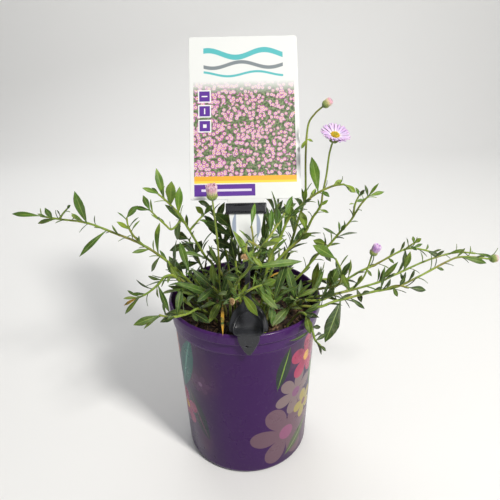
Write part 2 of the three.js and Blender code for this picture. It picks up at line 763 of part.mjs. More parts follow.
// A stem's rings are carried along its path without twisting
function stemSolid(path, low, top, foot) {
  const stops = stemStops(path);
  const rings = [];
  let side = [1, 0, 0];
  const ring = (centre, heading, radius) => {
    side = unit(plus(side, heading, -dot(side, heading)));
    const other = cross(heading, side);
    return Array.from({ length: STEM_SIDES }, (_, i) => {
      const turn = (2 * Math.PI * i) / STEM_SIDES;
      return plus(plus(centre, side, radius * Math.cos(turn)), other, radius * Math.sin(turn));
    });
  };
  if (foot) {
    rings.push(ring([path[0][0], path[0][1], STEM_FOOT], UP, low));
    rings.push(ring(path[0], UP, low));
  }
  for (const at of stops.slice(foot ? 1 : 0)) {
    const radius = low + ((top - low) * at) / (path.length - 1);
    rings.push(ring(pointOn(path, at), headingOn(path, at), radius));
  }
  return loft(rings);
}

// One body of many: a hollow that the joining seals is filled, and a loose scrap is dropped
function fuse(solids) {
  const joined = solids.slice(1).reduce((all, solid) => all.add(solid), solids[0]);
  const bodies = joined.simplify(0.05).decompose();
  return bodies.reduce((best, body) => (body.volume() > best.volume() ? body : best));
}

// Flowers and buds

// Two ways square to an axis
function frameOf(axis) {
  const first = unit(cross(axis, [0.1, 1, 0.05]));
  return [first, cross(axis, first)];
}

// A fluted solid round an axis: each ring is [height, radius, depth of the flutes, rise of the tips]
function fluted(origin, axis, rings, flutes) {
  const [first, second] = frameOf(axis);
  return loft(rings.map(([height, radius, depth = 0, tips = 0]) => {
    if (radius === 0) return [plus(origin, axis, height)];
    return Array.from({ length: 2 * flutes }, (_, i) => {
      const turn = (Math.PI * i) / flutes;
      const out = radius * (i % 2 ? 1 - depth : 1);
      const lifted = plus(origin, axis, height + (i % 2 ? 0 : tips));
      return plus(plus(lifted, first, out * Math.cos(turn)), second, out * Math.sin(turn));
    });
  }));
}

const RAY_COUNT = 17;
const RAY_REACH = 12.8;
const RAY_RISE = 3;
const RAY_WIDTH = 2.9;
const RAY_HALF_THICKNESS = 0.35;
const CUP_DEPTH = 5.4;
const FLORETS = 13;

// A ray floret: a strap from the core to the tip, lens-shaped across
function raySolid(root, tip, face) {
  const along = unit(plus(tip, root, -1));
  const across = unit(cross(along, face));
  const up = cross(across, along);
  const ring = ([t, half]) => {
    const centre = plus(plus(root, plus(tip, root, -1), t), up, 0.8 * t * (1 - t));
    return [
      plus(centre, across, -half),
      plus(centre, up, RAY_HALF_THICKNESS),
      plus(centre, across, half),
      plus(centre, up, -RAY_HALF_THICKNESS),
    ];
  };
  const half = RAY_WIDTH / 2;
  return loft([...[[0, half * 0.3], [0.48, half * 0.76], [0.85, half]].map(ring), [tip]]);
}

function flowerSolids(end, axis) {
  const centre = plus(end, axis, CUP_DEPTH);
  const [first, second] = frameOf(axis);
  const cup = fluted(centre, axis, [[-6.2, 1.2], [-5, 2.2, 0.1], [-2.8, 3.3, 0.12], [-GAP, 3.7, 0.12]], 8);
  const rays = [fluted(centre, axis, [[0, 3.3], [0.7, 3.3]], 8)];
  for (let i = 0; i < RAY_COUNT; i += 1) {
    const turn = (2 * Math.PI * i) / RAY_COUNT;
    const way = plus(times(first, Math.cos(turn)), second, Math.sin(turn));
    const layer = i % 2 ? 0.3 : 0;
    const root = plus(plus(centre, way, 2.4), axis, 0.3);
    const tip = plus(plus(centre, way, RAY_REACH - 2 * layer), axis, 0.3 + RAY_RISE + 2 * layer);
    rays.push(raySolid(root, tip, axis));
  }
  const florets = [fluted(centre, axis, [[1.2, 2.9], [2, 2.6], [2.8, 1.5], [3.1, 0]], 6)];
  for (let i = 0; i < FLORETS; i += 1) {
    const out = 2.5 * Math.sqrt((i + 0.3) / FLORETS);
    const turn = GOLDEN_ANGLE * i;
    const height = 3 - 0.16 * out * out;
    const geometry = new THREE.OctahedronGeometry(0.6);
    const aside = plus(times(first, out * Math.cos(turn)), second, out * Math.sin(turn));
    florets.push(solidOf(geometry.translate(...plus(plus(centre, axis, height), aside))));
  }
  return { cup, rays: fuse(rays), florets: fuse(florets) };
}

function budSolids(end, { axis, radius, cup, petals }) {
  const way = unit(axis);
  const open = petals > 6;
  const rings = [
    [-0.6, 1],
    [0.15 * cup, 0.62 * radius, 0.08],
    [0.6 * cup, radius, 0.1],
    [cup, 0.9 * radius, 0.1],
  ];
  const foot = cup + GAP;
  const flare = open ? 1.05 : 0.78;
  const brush = [
    [foot, 0.82 * radius, 0.12],
    [foot + 0.4 * petals, 0.98 * radius * (open ? 1 : 0.95), 0.14],
    [foot + 0.72 * petals, flare * radius, 0.2, 0.28 * petals],
    [foot + 0.66 * petals, 0],
  ];
  return { cup: fluted(end, way, rings, 7), petals: fluted(end, way, brush, 8) };
}

function driedSolid(end, { axis, radius }) {
  const rings = [
    [-0.8, 0.9],
    [0.3 * radius, 0.85 * radius, 0.15],
    [1.1 * radius, radius, 0.2, 0.7],
    [1.5 * radius, 0],
  ];
  return fluted(end, unit(axis), rings, 6);
}

// Pot, potting mix, card and clip

// A profile of [radius, height] turned about the vertical axis
function turned(profile, sides) {
  const outlinePoints = profile.map(([radius, height]) => new THREE.Vector2(radius, height));
  return solidOf(new THREE.LatheGeometry(outlinePoints, sides).rotateX(Math.PI / 2));
}

function upright(radius, bottom, top, sides, x, y) {
  const geometry = new THREE.CylinderGeometry(radius, radius, top - bottom, sides);
  return solidOf(geometry.rotateX(Math.PI / 2).translate(x, y, (bottom + top) / 2));
}

const wallRadius = (height) => BASE_RADIUS + ((WALL_TOP_RADIUS - BASE_RADIUS) * height) / RIM_FOOT;

function potSolid() {
  const profile = [
    [0, 0],
    [BASE_RADIUS - BASE_CORNER, 0],
    [BASE_RADIUS - 1, 1.2],
    [wallRadius(BASE_CORNER), BASE_CORNER],
    [wallRadius(BEAD_FOOT), BEAD_FOOT],
    [BEAD_RADIUS, BEAD_FOOT + 0.8],
    [BEAD_RADIUS, RIM_FOOT],
    [RIM_RADIUS, RIM_FOOT + 1],
    [RIM_RADIUS, POT_HEIGHT - 1.2],
    [RIM_RADIUS - 1.2, POT_HEIGHT],
    [RIM_RADIUS - 2.6, POT_HEIGHT],
    [wallRadius(RIM_FOOT) - WALL, RIM_FOOT - 1],
    [wallRadius(BASE_CORNER) - WALL, BASE_CORNER + 1],
    [BASE_RADIUS - BASE_CORNER, FLOOR],
    [0, FLOOR],
  ];
  let pot = turned(profile, POT_SIDES);
  for (let i = 0; i < DRAIN_HOLES; i += 1) {
    const turn = (2 * Math.PI * (i + 0.5)) / DRAIN_HOLES;
    const [x, y] = [DRAIN_CIRCLE * Math.cos(turn), DRAIN_CIRCLE * Math.sin(turn)];
    pot = pot.subtract(upright(DRAIN_RADIUS, -1, FLOOR + 1, 8, x, y));
  }
  return pot;
}

const CHIPS = 8;

// Lumpy bark mix, with a plain hole for each stem
function mixSolid(plants) {
  const random = draws(77);
  const sides = 20;
  const ring = (radius, height, lump) => Array.from({ length: sides }, (_, i) => {
    const turn = (2 * Math.PI * i) / sides;
    return [radius * Math.cos(turn), radius * Math.sin(turn), height + lump * (random() - 0.5) * 2];
  });
  const edge = wallRadius(SOIL_TOP) - WALL - GAP - 0.4;
  let mix = loft([
    [[0, 0, FLOOR + GAP]],
    ring(BASE_RADIUS - BASE_CORNER - 1, FLOOR + GAP, 0),
    ring(wallRadius(BASE_CORNER) - WALL - GAP - 0.4, BASE_CORNER + 2, 0),
    ring(edge, SOIL_TOP - 2, 0),
    ring(edge - 4, SOIL_TOP, SOIL_LUMP * 0.6),
    ring(edge * 0.74, SOIL_TOP, SOIL_LUMP),
    ring(edge * 0.5, SOIL_TOP, SOIL_LUMP),
    ring(edge * 0.25, SOIL_TOP, SOIL_LUMP),
    [[0, 0, SOIL_TOP]],
  ]);
  for (let i = 0; i < CHIPS; i += 1) {
    const turn = GOLDEN_ANGLE * i;
    const out = 8 + 48 * Math.sqrt((i + 0.5) / CHIPS);
    const chip = new THREE.BoxGeometry(5 + 5 * random(), 3 + 2.5 * random(), 2.2);
    chip.rotateX((random() - 0.5) * 0.5).rotateZ(6 * random());
    mix = mix.add(solidOf(chip.translate(out * Math.cos(turn), out * Math.sin(turn), SOIL_TOP + 0.2)));
  }
  for (const { joins, path } of plants) {
    const hole = upright(STEM_RADIUS_LOW + 0.7, STEM_FOOT - 0.4, STEM_START + 4, 4, ...path[0]);
    if (!joins) mix = mix.subtract(hole);
  }
  return fuse([mix]);
}

// Outlines are drawn in the card's own plane: x across, y up along the lean, extruded from back to front.
// The card is turned a little in that plane.
const LEANING = new THREE.Matrix4().makeBasis(
  new THREE.Vector3(1, 0, 0),
  new THREE.Vector3(0, Math.sin(CARD_LEAN), Math.cos(CARD_LEAN)),
  new THREE.Vector3(0, -Math.cos(CARD_LEAN), Math.sin(CARD_LEAN)),
).setPosition(...CARD_FOOT).multiply(new THREE.Matrix4().makeRotationZ(CARD_TURN));

function plate(points, back, front, placing) {
  const shape = new THREE.Shape(points.map(([x, y]) => new THREE.Vector2(x, y)));
  const geometry = new THREE.ExtrudeGeometry(shape, { depth: front - back, bevelEnabled: false });
  return solidOf(geometry.translate(0, 0, back).applyMatrix4(placing));
}

const mirrored = (half) => [...half, ...half.slice().reverse().map(([x, y]) => [-x, y])];
const box = (x0, x1, y0, y1) => [[x1, y0], [x1, y1], [x0, y1], [x0, y0]];

// Half the tongue: how wide it is at each height up the lean, from its tip to the card
const TONGUE = [[6.2, 71], [9.4, 78], [11.6, 84], [13.1, 89.5], [14.4, 98.5]];
const TONGUE_HALF = 15.5;
const CARD_BACK = 0.3;
const BAR_HALF = 17;
const BAR_LOW = 98.7;
const BAR_HIGH = 107.7;
const STALK_HALF = 2.3;
const TAB_FRONT = -72.8;
const TAB_BACK = -70.5;

function cardSolid() {
  const half = [
    ...TONGUE,
    [TONGUE_HALF, CARD_BOTTOM],
    [CARD_WIDTH / 2, CARD_BOTTOM],
    [CARD_WIDTH / 2, CARD_BOTTOM + CARD_HEIGHT],
  ];
  return plate(mirrored(half), CARD_BACK, CARD_BACK + CARD_THICKNESS, LEANING);
}

// The clip's hood: a scoop that stands out of the skirt and comes forward over the rim. Each station is
// [up the lean, outer half width, inner half width, back, floor, lip].
const HOOD = [
  [18.2, 2.4, 1.4, -1, -0.3, 0.4],
  [16.8, 5, 4, -1, -0.3, 1.8],
  [14.5, 8.2, 7.1, -1, -0.4, 2.7],
  [12, 10.2, 9.1, -1, -0.6, 3.2],
  [8.6, 11.7, 10.6, -1, -0.6, 4],
  [5, 12.7, 11.6, -1, 0, 5.2],
  [2.8, 12.8, 11.7, -1, 2.2, 6.2],
  [1, 12.4, 11.3, 1.2, 5, 7.2],
  [-0.1, 11.5, 10.4, 3.4, 7.2, 7.8],
  [-1.3, 9.8, 8.7, 5.4, 7.8, 7.8],
];

function hoodSolid() {
  const rings = HOOD.map(([y, outer, inner, back, floor, lip]) => [
    [-outer, y, back], [-outer, y, lip], [-inner, y, lip], [-inner, y, floor],
    [inner, y, floor], [inner, y, lip], [outer, y, lip], [outer, y, back],
  ].map((point) => new THREE.Vector3(...point).applyMatrix4(LEANING).toArray()));
  return loft(rings);
}

const SKIRT = [
  [15.2, 0.8], [16.2, 3], [16.3, 6], [15.8, 9], [14.3, 14], [12.6, 18], [10.2, 20.5], [6.3, 24],
  [3.2, 28.4], [2.3, 33],
];
const TAB = [
  [1.3, 148.3], [3.3, 151], [4.7, 153.5], [6, 156], [7.2, 158.5], [8.3, 161], [8.9, 163.6], [8.9, 168.6],
];
const HOLE_ASIDE = -1.9;

function clipSolid() {
  const stalk = plate(box(-STALK_HALF, STALK_HALF, 18, BAR_HIGH), -2.4, 0, LEANING);
  const bar = plate(box(-BAR_HALF, BAR_HALF, BAR_LOW, BAR_HIGH), -2.4, 3.2, LEANING);
  const slot = plate(box(-TONGUE_HALF - GAP, TONGUE_HALF + GAP, BAR_LOW - 1, BAR_HIGH + 1), 0,
    CARD_BACK + CARD_THICKNESS + GAP, LEANING);
  const skirt = plate(mirrored(SKIRT), -3, -0.6, LEANING);
  const facing = new THREE.Matrix4().makeBasis(
    new THREE.Vector3(1, 0, 0),
    new THREE.Vector3(0, 0, 1),
    new THREE.Vector3(0, -1, 0),
  ).setPosition(CARD_FOOT[0], 0, 0);
  const tab = plate(mirrored(TAB), -TAB_BACK, -TAB_FRONT, facing);
  const saddle = plate(box(-8.9, 8.9, POT_HEIGHT + GAP + 0.1, 168.6), 62.4, -TAB_FRONT, facing);
  const leg = plate(box(-6, 6, 157.5, 168.6), 61.6, 63.9, facing);
  const hole = new THREE.CylinderGeometry(0.8, 0.8, 8, 8);
  hole.translate(CARD_FOOT[0] + HOLE_ASIDE, (TAB_FRONT + TAB_BACK) / 2, 157);
  const body = fuse([stalk, bar, skirt, hoodSolid(), tab, saddle, leg]);
  return body.subtract(slot).subtract(solidOf(hole));
}

// The object: one named mesh for each piece

const FINISHES = {
  pot: [0x4a2c68, 0.42],
  mix: [0x3b2b20, 0.95],
  clip: [0x25272a, 0.45],
  card: [0xf2f2ee, 0.35],
  leaf: [0x5c7c2e, 0.6],
  shade: [0x3f5f28, 0.6],
  ray: [0xd9b8e0, 0.55],
  disc: [0xe3c21c, 0.7],
  bud: [0xd48cb4, 0.55],
};

const potted = new THREE.Group();

function addPiece(name, solid, finish) {
  const [color, roughness] = FINISHES[finish];
  const material = new THREE.MeshStandardMaterial({ color, roughness, metalness: 0 });
  const piece = new THREE.Mesh(geometryOf(solid), material);
  piece.name = name;
  potted.add(piece);
}

const plants = growAll();
addPiece('pot', potSolid(), 'pot');
addPiece('potting_mix', mixSolid(plants), 'mix');
addPiece('label_holder', clipSolid(), 'clip');
addPiece('label_card', cardSolid(), 'card');

for (const plant of plants.filter(({ joins }) => !joins)) {
  const parts = plants.filter(({ owner }) => owner === plant.name);
  const solids = [];
  for (const { name, path, joins, grown } of parts) {
    const thin = joins ? BRANCH_THIN : 1;
    solids.push(stemSolid(path, STEM_RADIUS_LOW * thin, STEM_RADIUS_TOP * thin, !joins));
    solids.push(...grown.map(bladeSolid));
    const head = HEADS[name];
    const end = path.at(-1);
    if (head?.kind === 'dried') solids.push(driedSolid(end, head));
    if (head?.kind === 'bud') {
      const { cup, petals } = budSolids(end, head);
      solids.push(cup);
      addPiece(`${name}_petals`, petals, 'bud');
    }
    if (head?.kind === 'flower') {
      const { cup, rays, florets } = flowerSolids(end, unit(head.axis));
      solids.push(cup);
      addPiece('flower_rays', rays, 'ray');
      addPiece('flower_disc', florets, 'disc');
    }
  }
  addPiece(plant.name, fuse(solids), plant.name.startsWith('crown') ? 'shade' : 'leaf');
}

export default potted;
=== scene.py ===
"""Gives a potted seaside daisy its looks: a script laid out as a Blender add-on, with one operator for
each piece or group of like pieces.

Lengths in the functions below are millimetres, because the plant's growth rule is in millimetres; build()
turns them into metres. The pot stands on z = 0 and the card faces -Y.
"""

import functools

import bpy
import numpy as np
from bpy.props import FloatProperty, FloatVectorProperty, IntProperty, PointerProperty
from mathutils import Matrix


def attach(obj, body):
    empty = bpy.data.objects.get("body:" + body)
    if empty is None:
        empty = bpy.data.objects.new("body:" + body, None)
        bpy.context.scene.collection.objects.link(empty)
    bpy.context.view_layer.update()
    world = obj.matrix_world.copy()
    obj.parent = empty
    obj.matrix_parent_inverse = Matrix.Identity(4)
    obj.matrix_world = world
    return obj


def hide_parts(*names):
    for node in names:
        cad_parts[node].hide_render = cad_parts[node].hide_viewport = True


bl_info = {
    "name": "Potted Seaside Daisy",
    "version": (1, 0, 0),
    "blender": (4, 5, 0),
    "location": "View3D > Sidebar > Daisy",
    "description": "Builds a seaside daisy in a nursery pot with its card and clip",
    "category": "Add Mesh",
}

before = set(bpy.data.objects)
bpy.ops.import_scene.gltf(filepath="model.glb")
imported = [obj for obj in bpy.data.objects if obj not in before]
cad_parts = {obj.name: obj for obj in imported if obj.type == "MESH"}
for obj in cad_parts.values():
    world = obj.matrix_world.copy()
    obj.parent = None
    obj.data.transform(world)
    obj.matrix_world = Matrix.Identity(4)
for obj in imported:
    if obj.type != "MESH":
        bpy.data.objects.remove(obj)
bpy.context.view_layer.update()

MM = 0.001


def paint(code):
    """Linear RGBA of an sRGB hex colour such as "7fa02a"."""
    channels = (int(code[i:i + 2], 16) / 255 for i in (0, 2, 4))
    linear = (c / 12.92 if c <= 0.04045 else ((c + 0.055) / 1.055) ** 2.4 for c in channels)
    return (*linear, 1.0)


# Pot, as the frame's solid: taper, bead and rim
RIM_RADIUS = 70.0
POT_HEIGHT = 165.0
WALL_TOP_RADIUS = 66.5
BASE_RADIUS = 59.5
BASE_CORNER = 4.0
WALL = 1.8
FLOOR = 2.0
RIM_FOOT = 154.5
BEAD_FOOT = 144.0
BEAD_RADIUS = 67.6
DRAIN_HOLES = 8
DRAIN_RADIUS = 4.5
DRAIN_CIRCLE = 45.0

# Potting mix
SOIL_TOP = 147.6
STEM_FOOT = 134.0
STEM_START = 149.0

# Stems and leaves
STEM_RADIUS_LOW = 1.3
STEM_RADIUS_TOP = 0.75
BRANCH_THIN = 0.8
LEAF_FOOT = 0.42
LEAF_FOLD = 0.24
LEAF_ROOT = 0.22
LEAF_WIDEST = 0.58
LEAF_POINT = 1.05
LEAF_WIDTH_SHARE = 0.18
LEAF_WIDTH_MOST = 8.5
GOLDEN_ANGLE = 2.4
STEM_ASIDE = (0.31, 0.9, 0.17)

# Clearances that the growth rule keeps
LEAF_TO_LEAF = 2.3
LEAF_TO_STEM = 3.1
STEM_TO_STEM = 3.7
OWN_LEAF = 1.2
TRIES = 40

# Crown shoots
SHOOTS = 12
SHOOT_INNER = 8.0
SHOOT_OUTER = 54.0
SHOOT_LEAVES = 6
SHOOT_HEIGHT = 34.0

# Card and clip lean back in one plane through CARD_FOOT
CARD_FOOT = np.array([3.4, -66.0, 165.0])
CARD_LEAN = np.radians(31)
CARD_TURN = np.radians(0.2)
CARD_WIDTH = 93.0
CARD_HEIGHT = 142.5
CARD_THICKNESS = 0.8
CARD_BOTTOM = 111.0
CARD_BACK = 0.3
CARD_CORNER = 2.5
TONGUE = [[6.2, 71.0], [9.4, 78.0], [11.6, 84.0], [13.1, 89.5], [14.4, 98.5]]
TONGUE_HALF = 15.5
BAR_HALF = 17.0
BAR_LOW = 98.7
BAR_HIGH = 107.7
STALK_HALF = 2.3
TAB_FRONT = -72.8
TAB_BACK = -70.5

# Open bloom
RAY_REACH = 12.8
RAY_RISE = 3.0
CUP_DEPTH = 5.4

# Each stem passes through the points of its path, the first one on the soil, or on the stem that it joins.
# Its leaves are (where on the path, tip x, y, z, width), and fill is how many more grow on it, between
# which places and how long.
STEM_FACTS = ("name", "joins", "path", "leaves", "fill")
STEMS = [dict(zip(STEM_FACTS, row)) for row in (
    ("left_runner", None,
     [[-32, 4, 149], [-50, 2, 176], [-68, -4, 201], [-88, -8, 220], [-110, -8, 231], [-134, -5, 240],
      [-159, 0, 242], [-176, 3, 244]],
     [[7, -201, 4, 246, 5], [5, -137, -14, 272, 8], [5.1, -150, 6, 245, 3], [4.3, -141, -18, 214, 5.5],
      [6.3, -167, -6, 255, 5], [6.1, -182, 8, 235, 4], [2.7, -96, -16, 216, 4], [2, -58, -16, 188, 5],
      [2.3, -86, 8, 185, 5]],
     (3, 0.7, 2.7, 30)),
    ("left_upright", None,
     [[-24, 14, 149], [-28, 8, 188], [-36, 5, 203], [-47, 0, 229], [-55, -3, 246], [-63, -6, 258],
      [-70, -8, 266]],
     [[6, -82, -12, 273, 4], [5.3, -71, 0, 286, 6.5], [4.7, -57, -14, 279, 9], [4, -53, 2, 269, 7],
      [3.8, -60, 10, 216, 7]],
     (3, 0.9, 3.6, 28)),
    ("left_low", None,
     [[-42, -6, 149], [-58, -16, 189], [-67, -24, 197], [-74, -28, 191], [-83, -32, 185], [-91, -34, 182]],
     [[5, -102, -40, 185, 3], [5, -105, -30, 172, 3], [4.7, -103, -38, 168, 4], [4.1, -99, -26, 181, 3],
      [3, -63, -46, 174, 5]],
     (2, 1, 3, 22)),
    ("left_front", None,
     [[-26, -20, 149], [-38, -38, 172], [-47, -48, 174], [-59, -58, 177], [-68, -64, 183]],
     [[3.9, -88, -72, 179, 6.5], [2.8, -67, -70, 180, 5], [2.7, -52, -42, 195, 6.5],
      [1.7, -28, -60, 172, 6.5]],
     (2, 0.6, 2, 26)),
    ("left_spray", None,
     [[-18, -8, 149], [-20, -20, 170], [-23, -30, 184], [-27, -34, 192]],
     [[1, -56, -50, 205, 7], [1, -30, -56, 169, 7], [0.8, -17, -76, 170, 3], [2, -45, -30, 208, 5.5],
      [2.6, -40, -46, 183, 6.5]],
     (4, 0.3, 2.7, 28)),
    ("tall_bud", None,
     [[-18, -3, 149], [-23, -4, 171], [-22, -8, 194], [-22, -12, 219], [-23, -17, 244], [-24, -22, 265]],
     [[1.5, -32, -24, 202, 5], [2.3, -16, -2, 211, 4]],
     (4, 0.2, 2.2, 30)),
    ("centre_tall", None,
     [[-8, -26, 149], [-7, -46, 197], [3, -57, 218], [10, -60, 232], [17, -58, 242], [26, -50, 252],
      [33, -42, 260]],
     [[2.2, 47, -52, 223, 6.5], [4.5, 23, -44, 265, 5], [6, 40, -30, 270, 4], [1.4, -15, -60, 215, 6.5],
      [3.7, 31, -60, 247, 5]],
     (4, 1.8, 5.7, 28)),
    ("front_clip", None,
     [[-12, -28, 149], [-11, -46, 184], [-1, -54, 195], [7, -57, 202], [15, -57, 205]],
     [[2, 11, -76, 188, 7], [3.2, 27, -70, 190, 6.5], [4, 26, -60, 211, 6.5], [1.8, -17, -66, 193, 4]],
     (1, 0.8, 2.4, 22)),
    ("open_flower", None,
     [[20, 0, 149], [19, 0, 182], [36, 4, 203], [50, 5, 216], [56, 5, 225], [61, 3, 238], [67, 0, 250],
      [68, -3, 263], [70, -5, 279], [71, -8, 297], [73, -10, 308]],
     [[4, 51, 10, 242, 7], [6, 73, -2, 256, 3], [5.7, 75, 4, 242, 3], [3, 60, -8, 228, 5.5]],
     (3, 0.8, 4, 30)),
    ("top_bud", None,
     [[27, 14, 149], [37, 20, 187], [44, 20, 206], [49, 18, 227], [55, 14, 252], [55, 12, 265],
      [54, 10, 292], [55, 8, 317], [60, 6, 327], [66, 4, 333]],
     [[6.5, 50, 8, 298, 3], [6.5, 60, 12, 303, 3], [4, 50, 18, 262, 3], [3, 37, 24, 244, 5],
      [3.8, 54, 2, 267, 4]],
     (3, 0.9, 4, 28)),
    ("upper_right", None,
     [[14, -8, 149], [22, -6, 200], [32, -7, 224], [40, -7, 243], [51, -6, 254], [62, -8, 264],
      [75, -10, 271], [84, -12, 273]],
     [[5.1, 57, -6, 295, 8], [7, 93, -16, 267, 5], [6, 83, -6, 275, 4], [5.3, 72, -14, 263, 4],
      [4, 57, -16, 262, 3], [3, 48, -18, 253, 4], [2, 29, -4, 252, 7], [2.4, 43, 0, 256, 6.5]],
     (3, 0.7, 3.5, 28)),
    ("right_upper", None,
     [[34, 26, 149], [53, 20, 172], [69, 18, 195], [78, 15, 205], [86, 12, 218], [96, 10, 232],
      [103, 8, 247], [109, 6, 256]],
     [[7, 116, 2, 269, 3], [7, 123, 8, 259, 4], [6.9, 106, 10, 265, 3], [4.2, 91, 6, 230, 4],
      [3, 65, 24, 207, 7], [2.4, 80, 8, 192, 5], [3.9, 72, 16, 223, 3]],
     (3, 0.8, 4.2, 26)),
    ("right_main", None,
     [[40, -8, 149], [48, -17, 165], [58, -22, 169], [68, -23, 170], [80, -19, 173], [93, -15, 174],
      [120, -14, 182], [134, -12, 188], [163, -8, 200], [188, -4, 205], [207, -2, 203]],
     [[10, 225, 0, 198, 3], [8.7, 194, -8, 210, 3], [7.3, 144, -16, 213, 5.5], [7.2, 140, -18, 185, 3],
      [6, 134, -18, 204, 5], [5.3, 104, -22, 166, 5], [6, 126, -8, 194, 3]],
     (2, 1, 3.5, 30)),
    ("right_low", None,
     [[34, -14, 149], [42, -22, 163], [52, -28, 167], [66, -31, 168], [78, -28, 171], [91, -24, 172],
      [113, -24, 178], [132, -24, 182], [150, -22, 190], [177, -17, 203], [188, -15, 206], [204, -12, 204],
      [217, -10, 201]],
     [[10.1, 212, -16, 200, 5.5], [5.1, 106, -28, 163, 4], [6.3, 119, -30, 206, 3],
      [8.6, 174, -20, 196, 3], [4.6, 69, -48, 142, 12]],
     (1, 0.7, 2.4, 28)),
    ("right_fork", None,
     [[40, 14, 149], [52, 16, 163], [66, 15, 169], [80, 15, 170], [94, 14, 169], [109, 13, 179],
      [123, 13, 186], [144, 13, 199], [155, 13, 202], [170, 13, 199], [180, 13, 194]],
     [[6.5, 138, 6, 190, 3], [8.9, 181, 10, 194, 5], [8, 166, 18, 204, 3], [7.4, 147, 6, 187, 5],
      [5.4, 119, 8, 176, 3]],
     (2, 1, 5, 26)),
    ("purple_bud", None,
     [[48, 2, 149], [58, -8, 163], [69, -14, 169], [83, -12, 170], [97, -6, 171], [106, -9, 182],
      [110, -11, 196], [112, -12, 208]],
     [[4.5, 107, -4, 184, 4], [4, 86, -10, 183, 3]],
     (1, 0.7, 2.8, 24)),
    ("right_lateral", None,
     [[46, 10, 149], [58, 0, 166], [72, -6, 172], [84, -14, 180], [85, -18, 195], [79, -20, 209]],
     [[5, 58, -26, 225, 9], [3.8, 90, -30, 211, 5], [4, 90, -34, 185, 5], [2.2, 85, -2, 191, 10.5],
      [1.3, 66, -8, 200, 6.5]],
     (1, 1, 2, 24)),
    ("right_drop", None,
     [[38, -30, 149], [47, -38, 166], [53, -48, 169], [57, -56, 159], [59, -58, 152], [64, -56, 145]],
     [[4.8, 69, -56, 139, 3], [4.1, 69, -52, 154, 4], [1.8, 54, -64, 162, 7], [1.1, 67, -40, 165, 5.5],
      [2.7, 64, -52, 161, 4]],
     (1, 1, 2, 20)),
    ("right_fan", None,
     [[28, -24, 149], [37, -28, 164], [43, -32, 174], [45, -36, 181]],
     [[2.3, 36, -30, 209, 8], [1.5, 23, -50, 161, 8], [3, 42, -18, 190, 5], [2.2, 32, -44, 183, 5.5],
      [2.7, 63, -32, 187, 4]],
     (2, 0.6, 2.7, 26)),
    ("back_right_a", None,
     [[8, 24, 149], [13, 26, 184], [19, 28, 206], [25, 30, 224], [33, 32, 241]],
     [[2, 17, 24, 238, 5.5], [1.7, 26, 30, 230, 5.5], [3, 37, 36, 243, 5.5], [3.2, 50, 40, 238, 6.5]],
     (4, 0.8, 3.8, 30)),
    ("back_left_a", None,
     [[-14, 22, 149], [-16, 30, 183], [-21, 34, 204], [-26, 38, 221], [-31, 42, 236]],
     [[2, -36, 34, 230, 9.5], [3, -17, 36, 242, 6.5], [4, -42, 40, 242, 5], [1.7, -10, 28, 225, 6.5]],
     (4, 0.8, 3.8, 30)),
    ("back_centre", None,
     [[-4, 8, 149], [-7, 16, 178], [-10, 22, 203], [-13, 26, 224]],
     [[3, -14, 22, 240, 8], [2.8, -26, 24, 236, 10], [2.4, -37, 24, 228, 9], [1.9, -28, 18, 212, 9],
      [2.3, -4, 20, 226, 8], [1.4, -12, 14, 214, 8]],
     (3, 0.6, 2.6, 30)),
    ("back_left_b", None,
     [[-30, 26, 149], [-40, 31, 172], [-47, 34, 190], [-53, 36, 205]],
     [[3, -66, 34, 212, 8], [2.6, -72, 34, 194, 7], [2, -40, 30, 206, 8], [1.5, -68, 34, 176, 8]],
     (3, 0.6, 2.6, 28)),
    ("left_curl", "left_runner",
     [[-87, -8, 219], [-94, -11, 230], [-97, -13, 240], [-97, -14, 248]],
     [[2.9, -86, -16, 259, 5.5], [1.6, -105, -18, 246, 4]],
     (1, 0.9, 1.8, 16)),
    ("left_bract", "left_runner",
     [[-159, 0, 242], [-154, -3, 248], [-149, -5, 253]],
     [[2, -145, -6, 257, 3]],
     (0, 0, 0, 0)),
    ("left_twig", "left_upright",
     [[-53, -2, 240], [-61, -8, 234], [-66, -10, 239], [-72, -12, 247], [-77, -14, 254]],
     [[4, -81, -16, 268, 5], [4, -90, -12, 256, 4]],
     (1, 1.6, 3.2, 14)),
    ("left_side", "left_upright",
     [[-47, 0, 229], [-39, 5, 237], [-34, 8, 241]],
     [[1.9, -27, 12, 248, 5], [1.9, -41, 4, 250, 5.5], [1, -31, 10, 233, 3]],
     (0, 0, 0, 0)),
    ("dry_nod", "centre_tall",
     [[14, -59, 238], [9, -72, 248], [4, -76, 252], [3, -77, 248], [2, -77, 242]],
     [],
     (0, 0, 0, 0)),
    ("dry_low", "front_clip",
     [[-1, -54, 194], [-5, -60, 195], [-8, -64, 195]],
     [],
     (0, 0, 0, 0)),
    ("right_tuft", "right_upper",
     [[98, 10, 237], [98, 6, 249], [100, 2, 258]],
     [[2, 104, 0, 264, 3], [2, 96, 0, 266, 3], [1.2, 105, 6, 253, 3]],
     (0, 0, 0, 0)),
    ("fork_tuft", "right_fork",
     [[148, 13, 200], [151, 9, 206], [154, 7, 210]],
     [[2, 160, 6, 215, 4], [2, 153, 9, 216, 3], [1.1, 156, 2, 205, 3]],
     (0, 0, 0, 0)),
    ("low_spur", "right_low",
     [[122, -24, 180], [132, -28, 186], [142, -30, 185]],
     [[2, 157, -30, 182, 5.5], [1.2, 136, -34, 198, 4], [0.7, 133, -30, 176, 4]],
     (0, 0, 0, 0)),
    ("front_twig", "centre_tall",
     [[5, -58, 221], [6, -63, 232], [8, -66, 241], [8, -65, 251], [7, -61, 258]],
     [[3.9, 10, -50, 272, 4], [1.3, 15, -68, 227, 4], [1.9, 0, -70, 232, 5]],
     (1, 1.2, 3.2, 20)),
)]

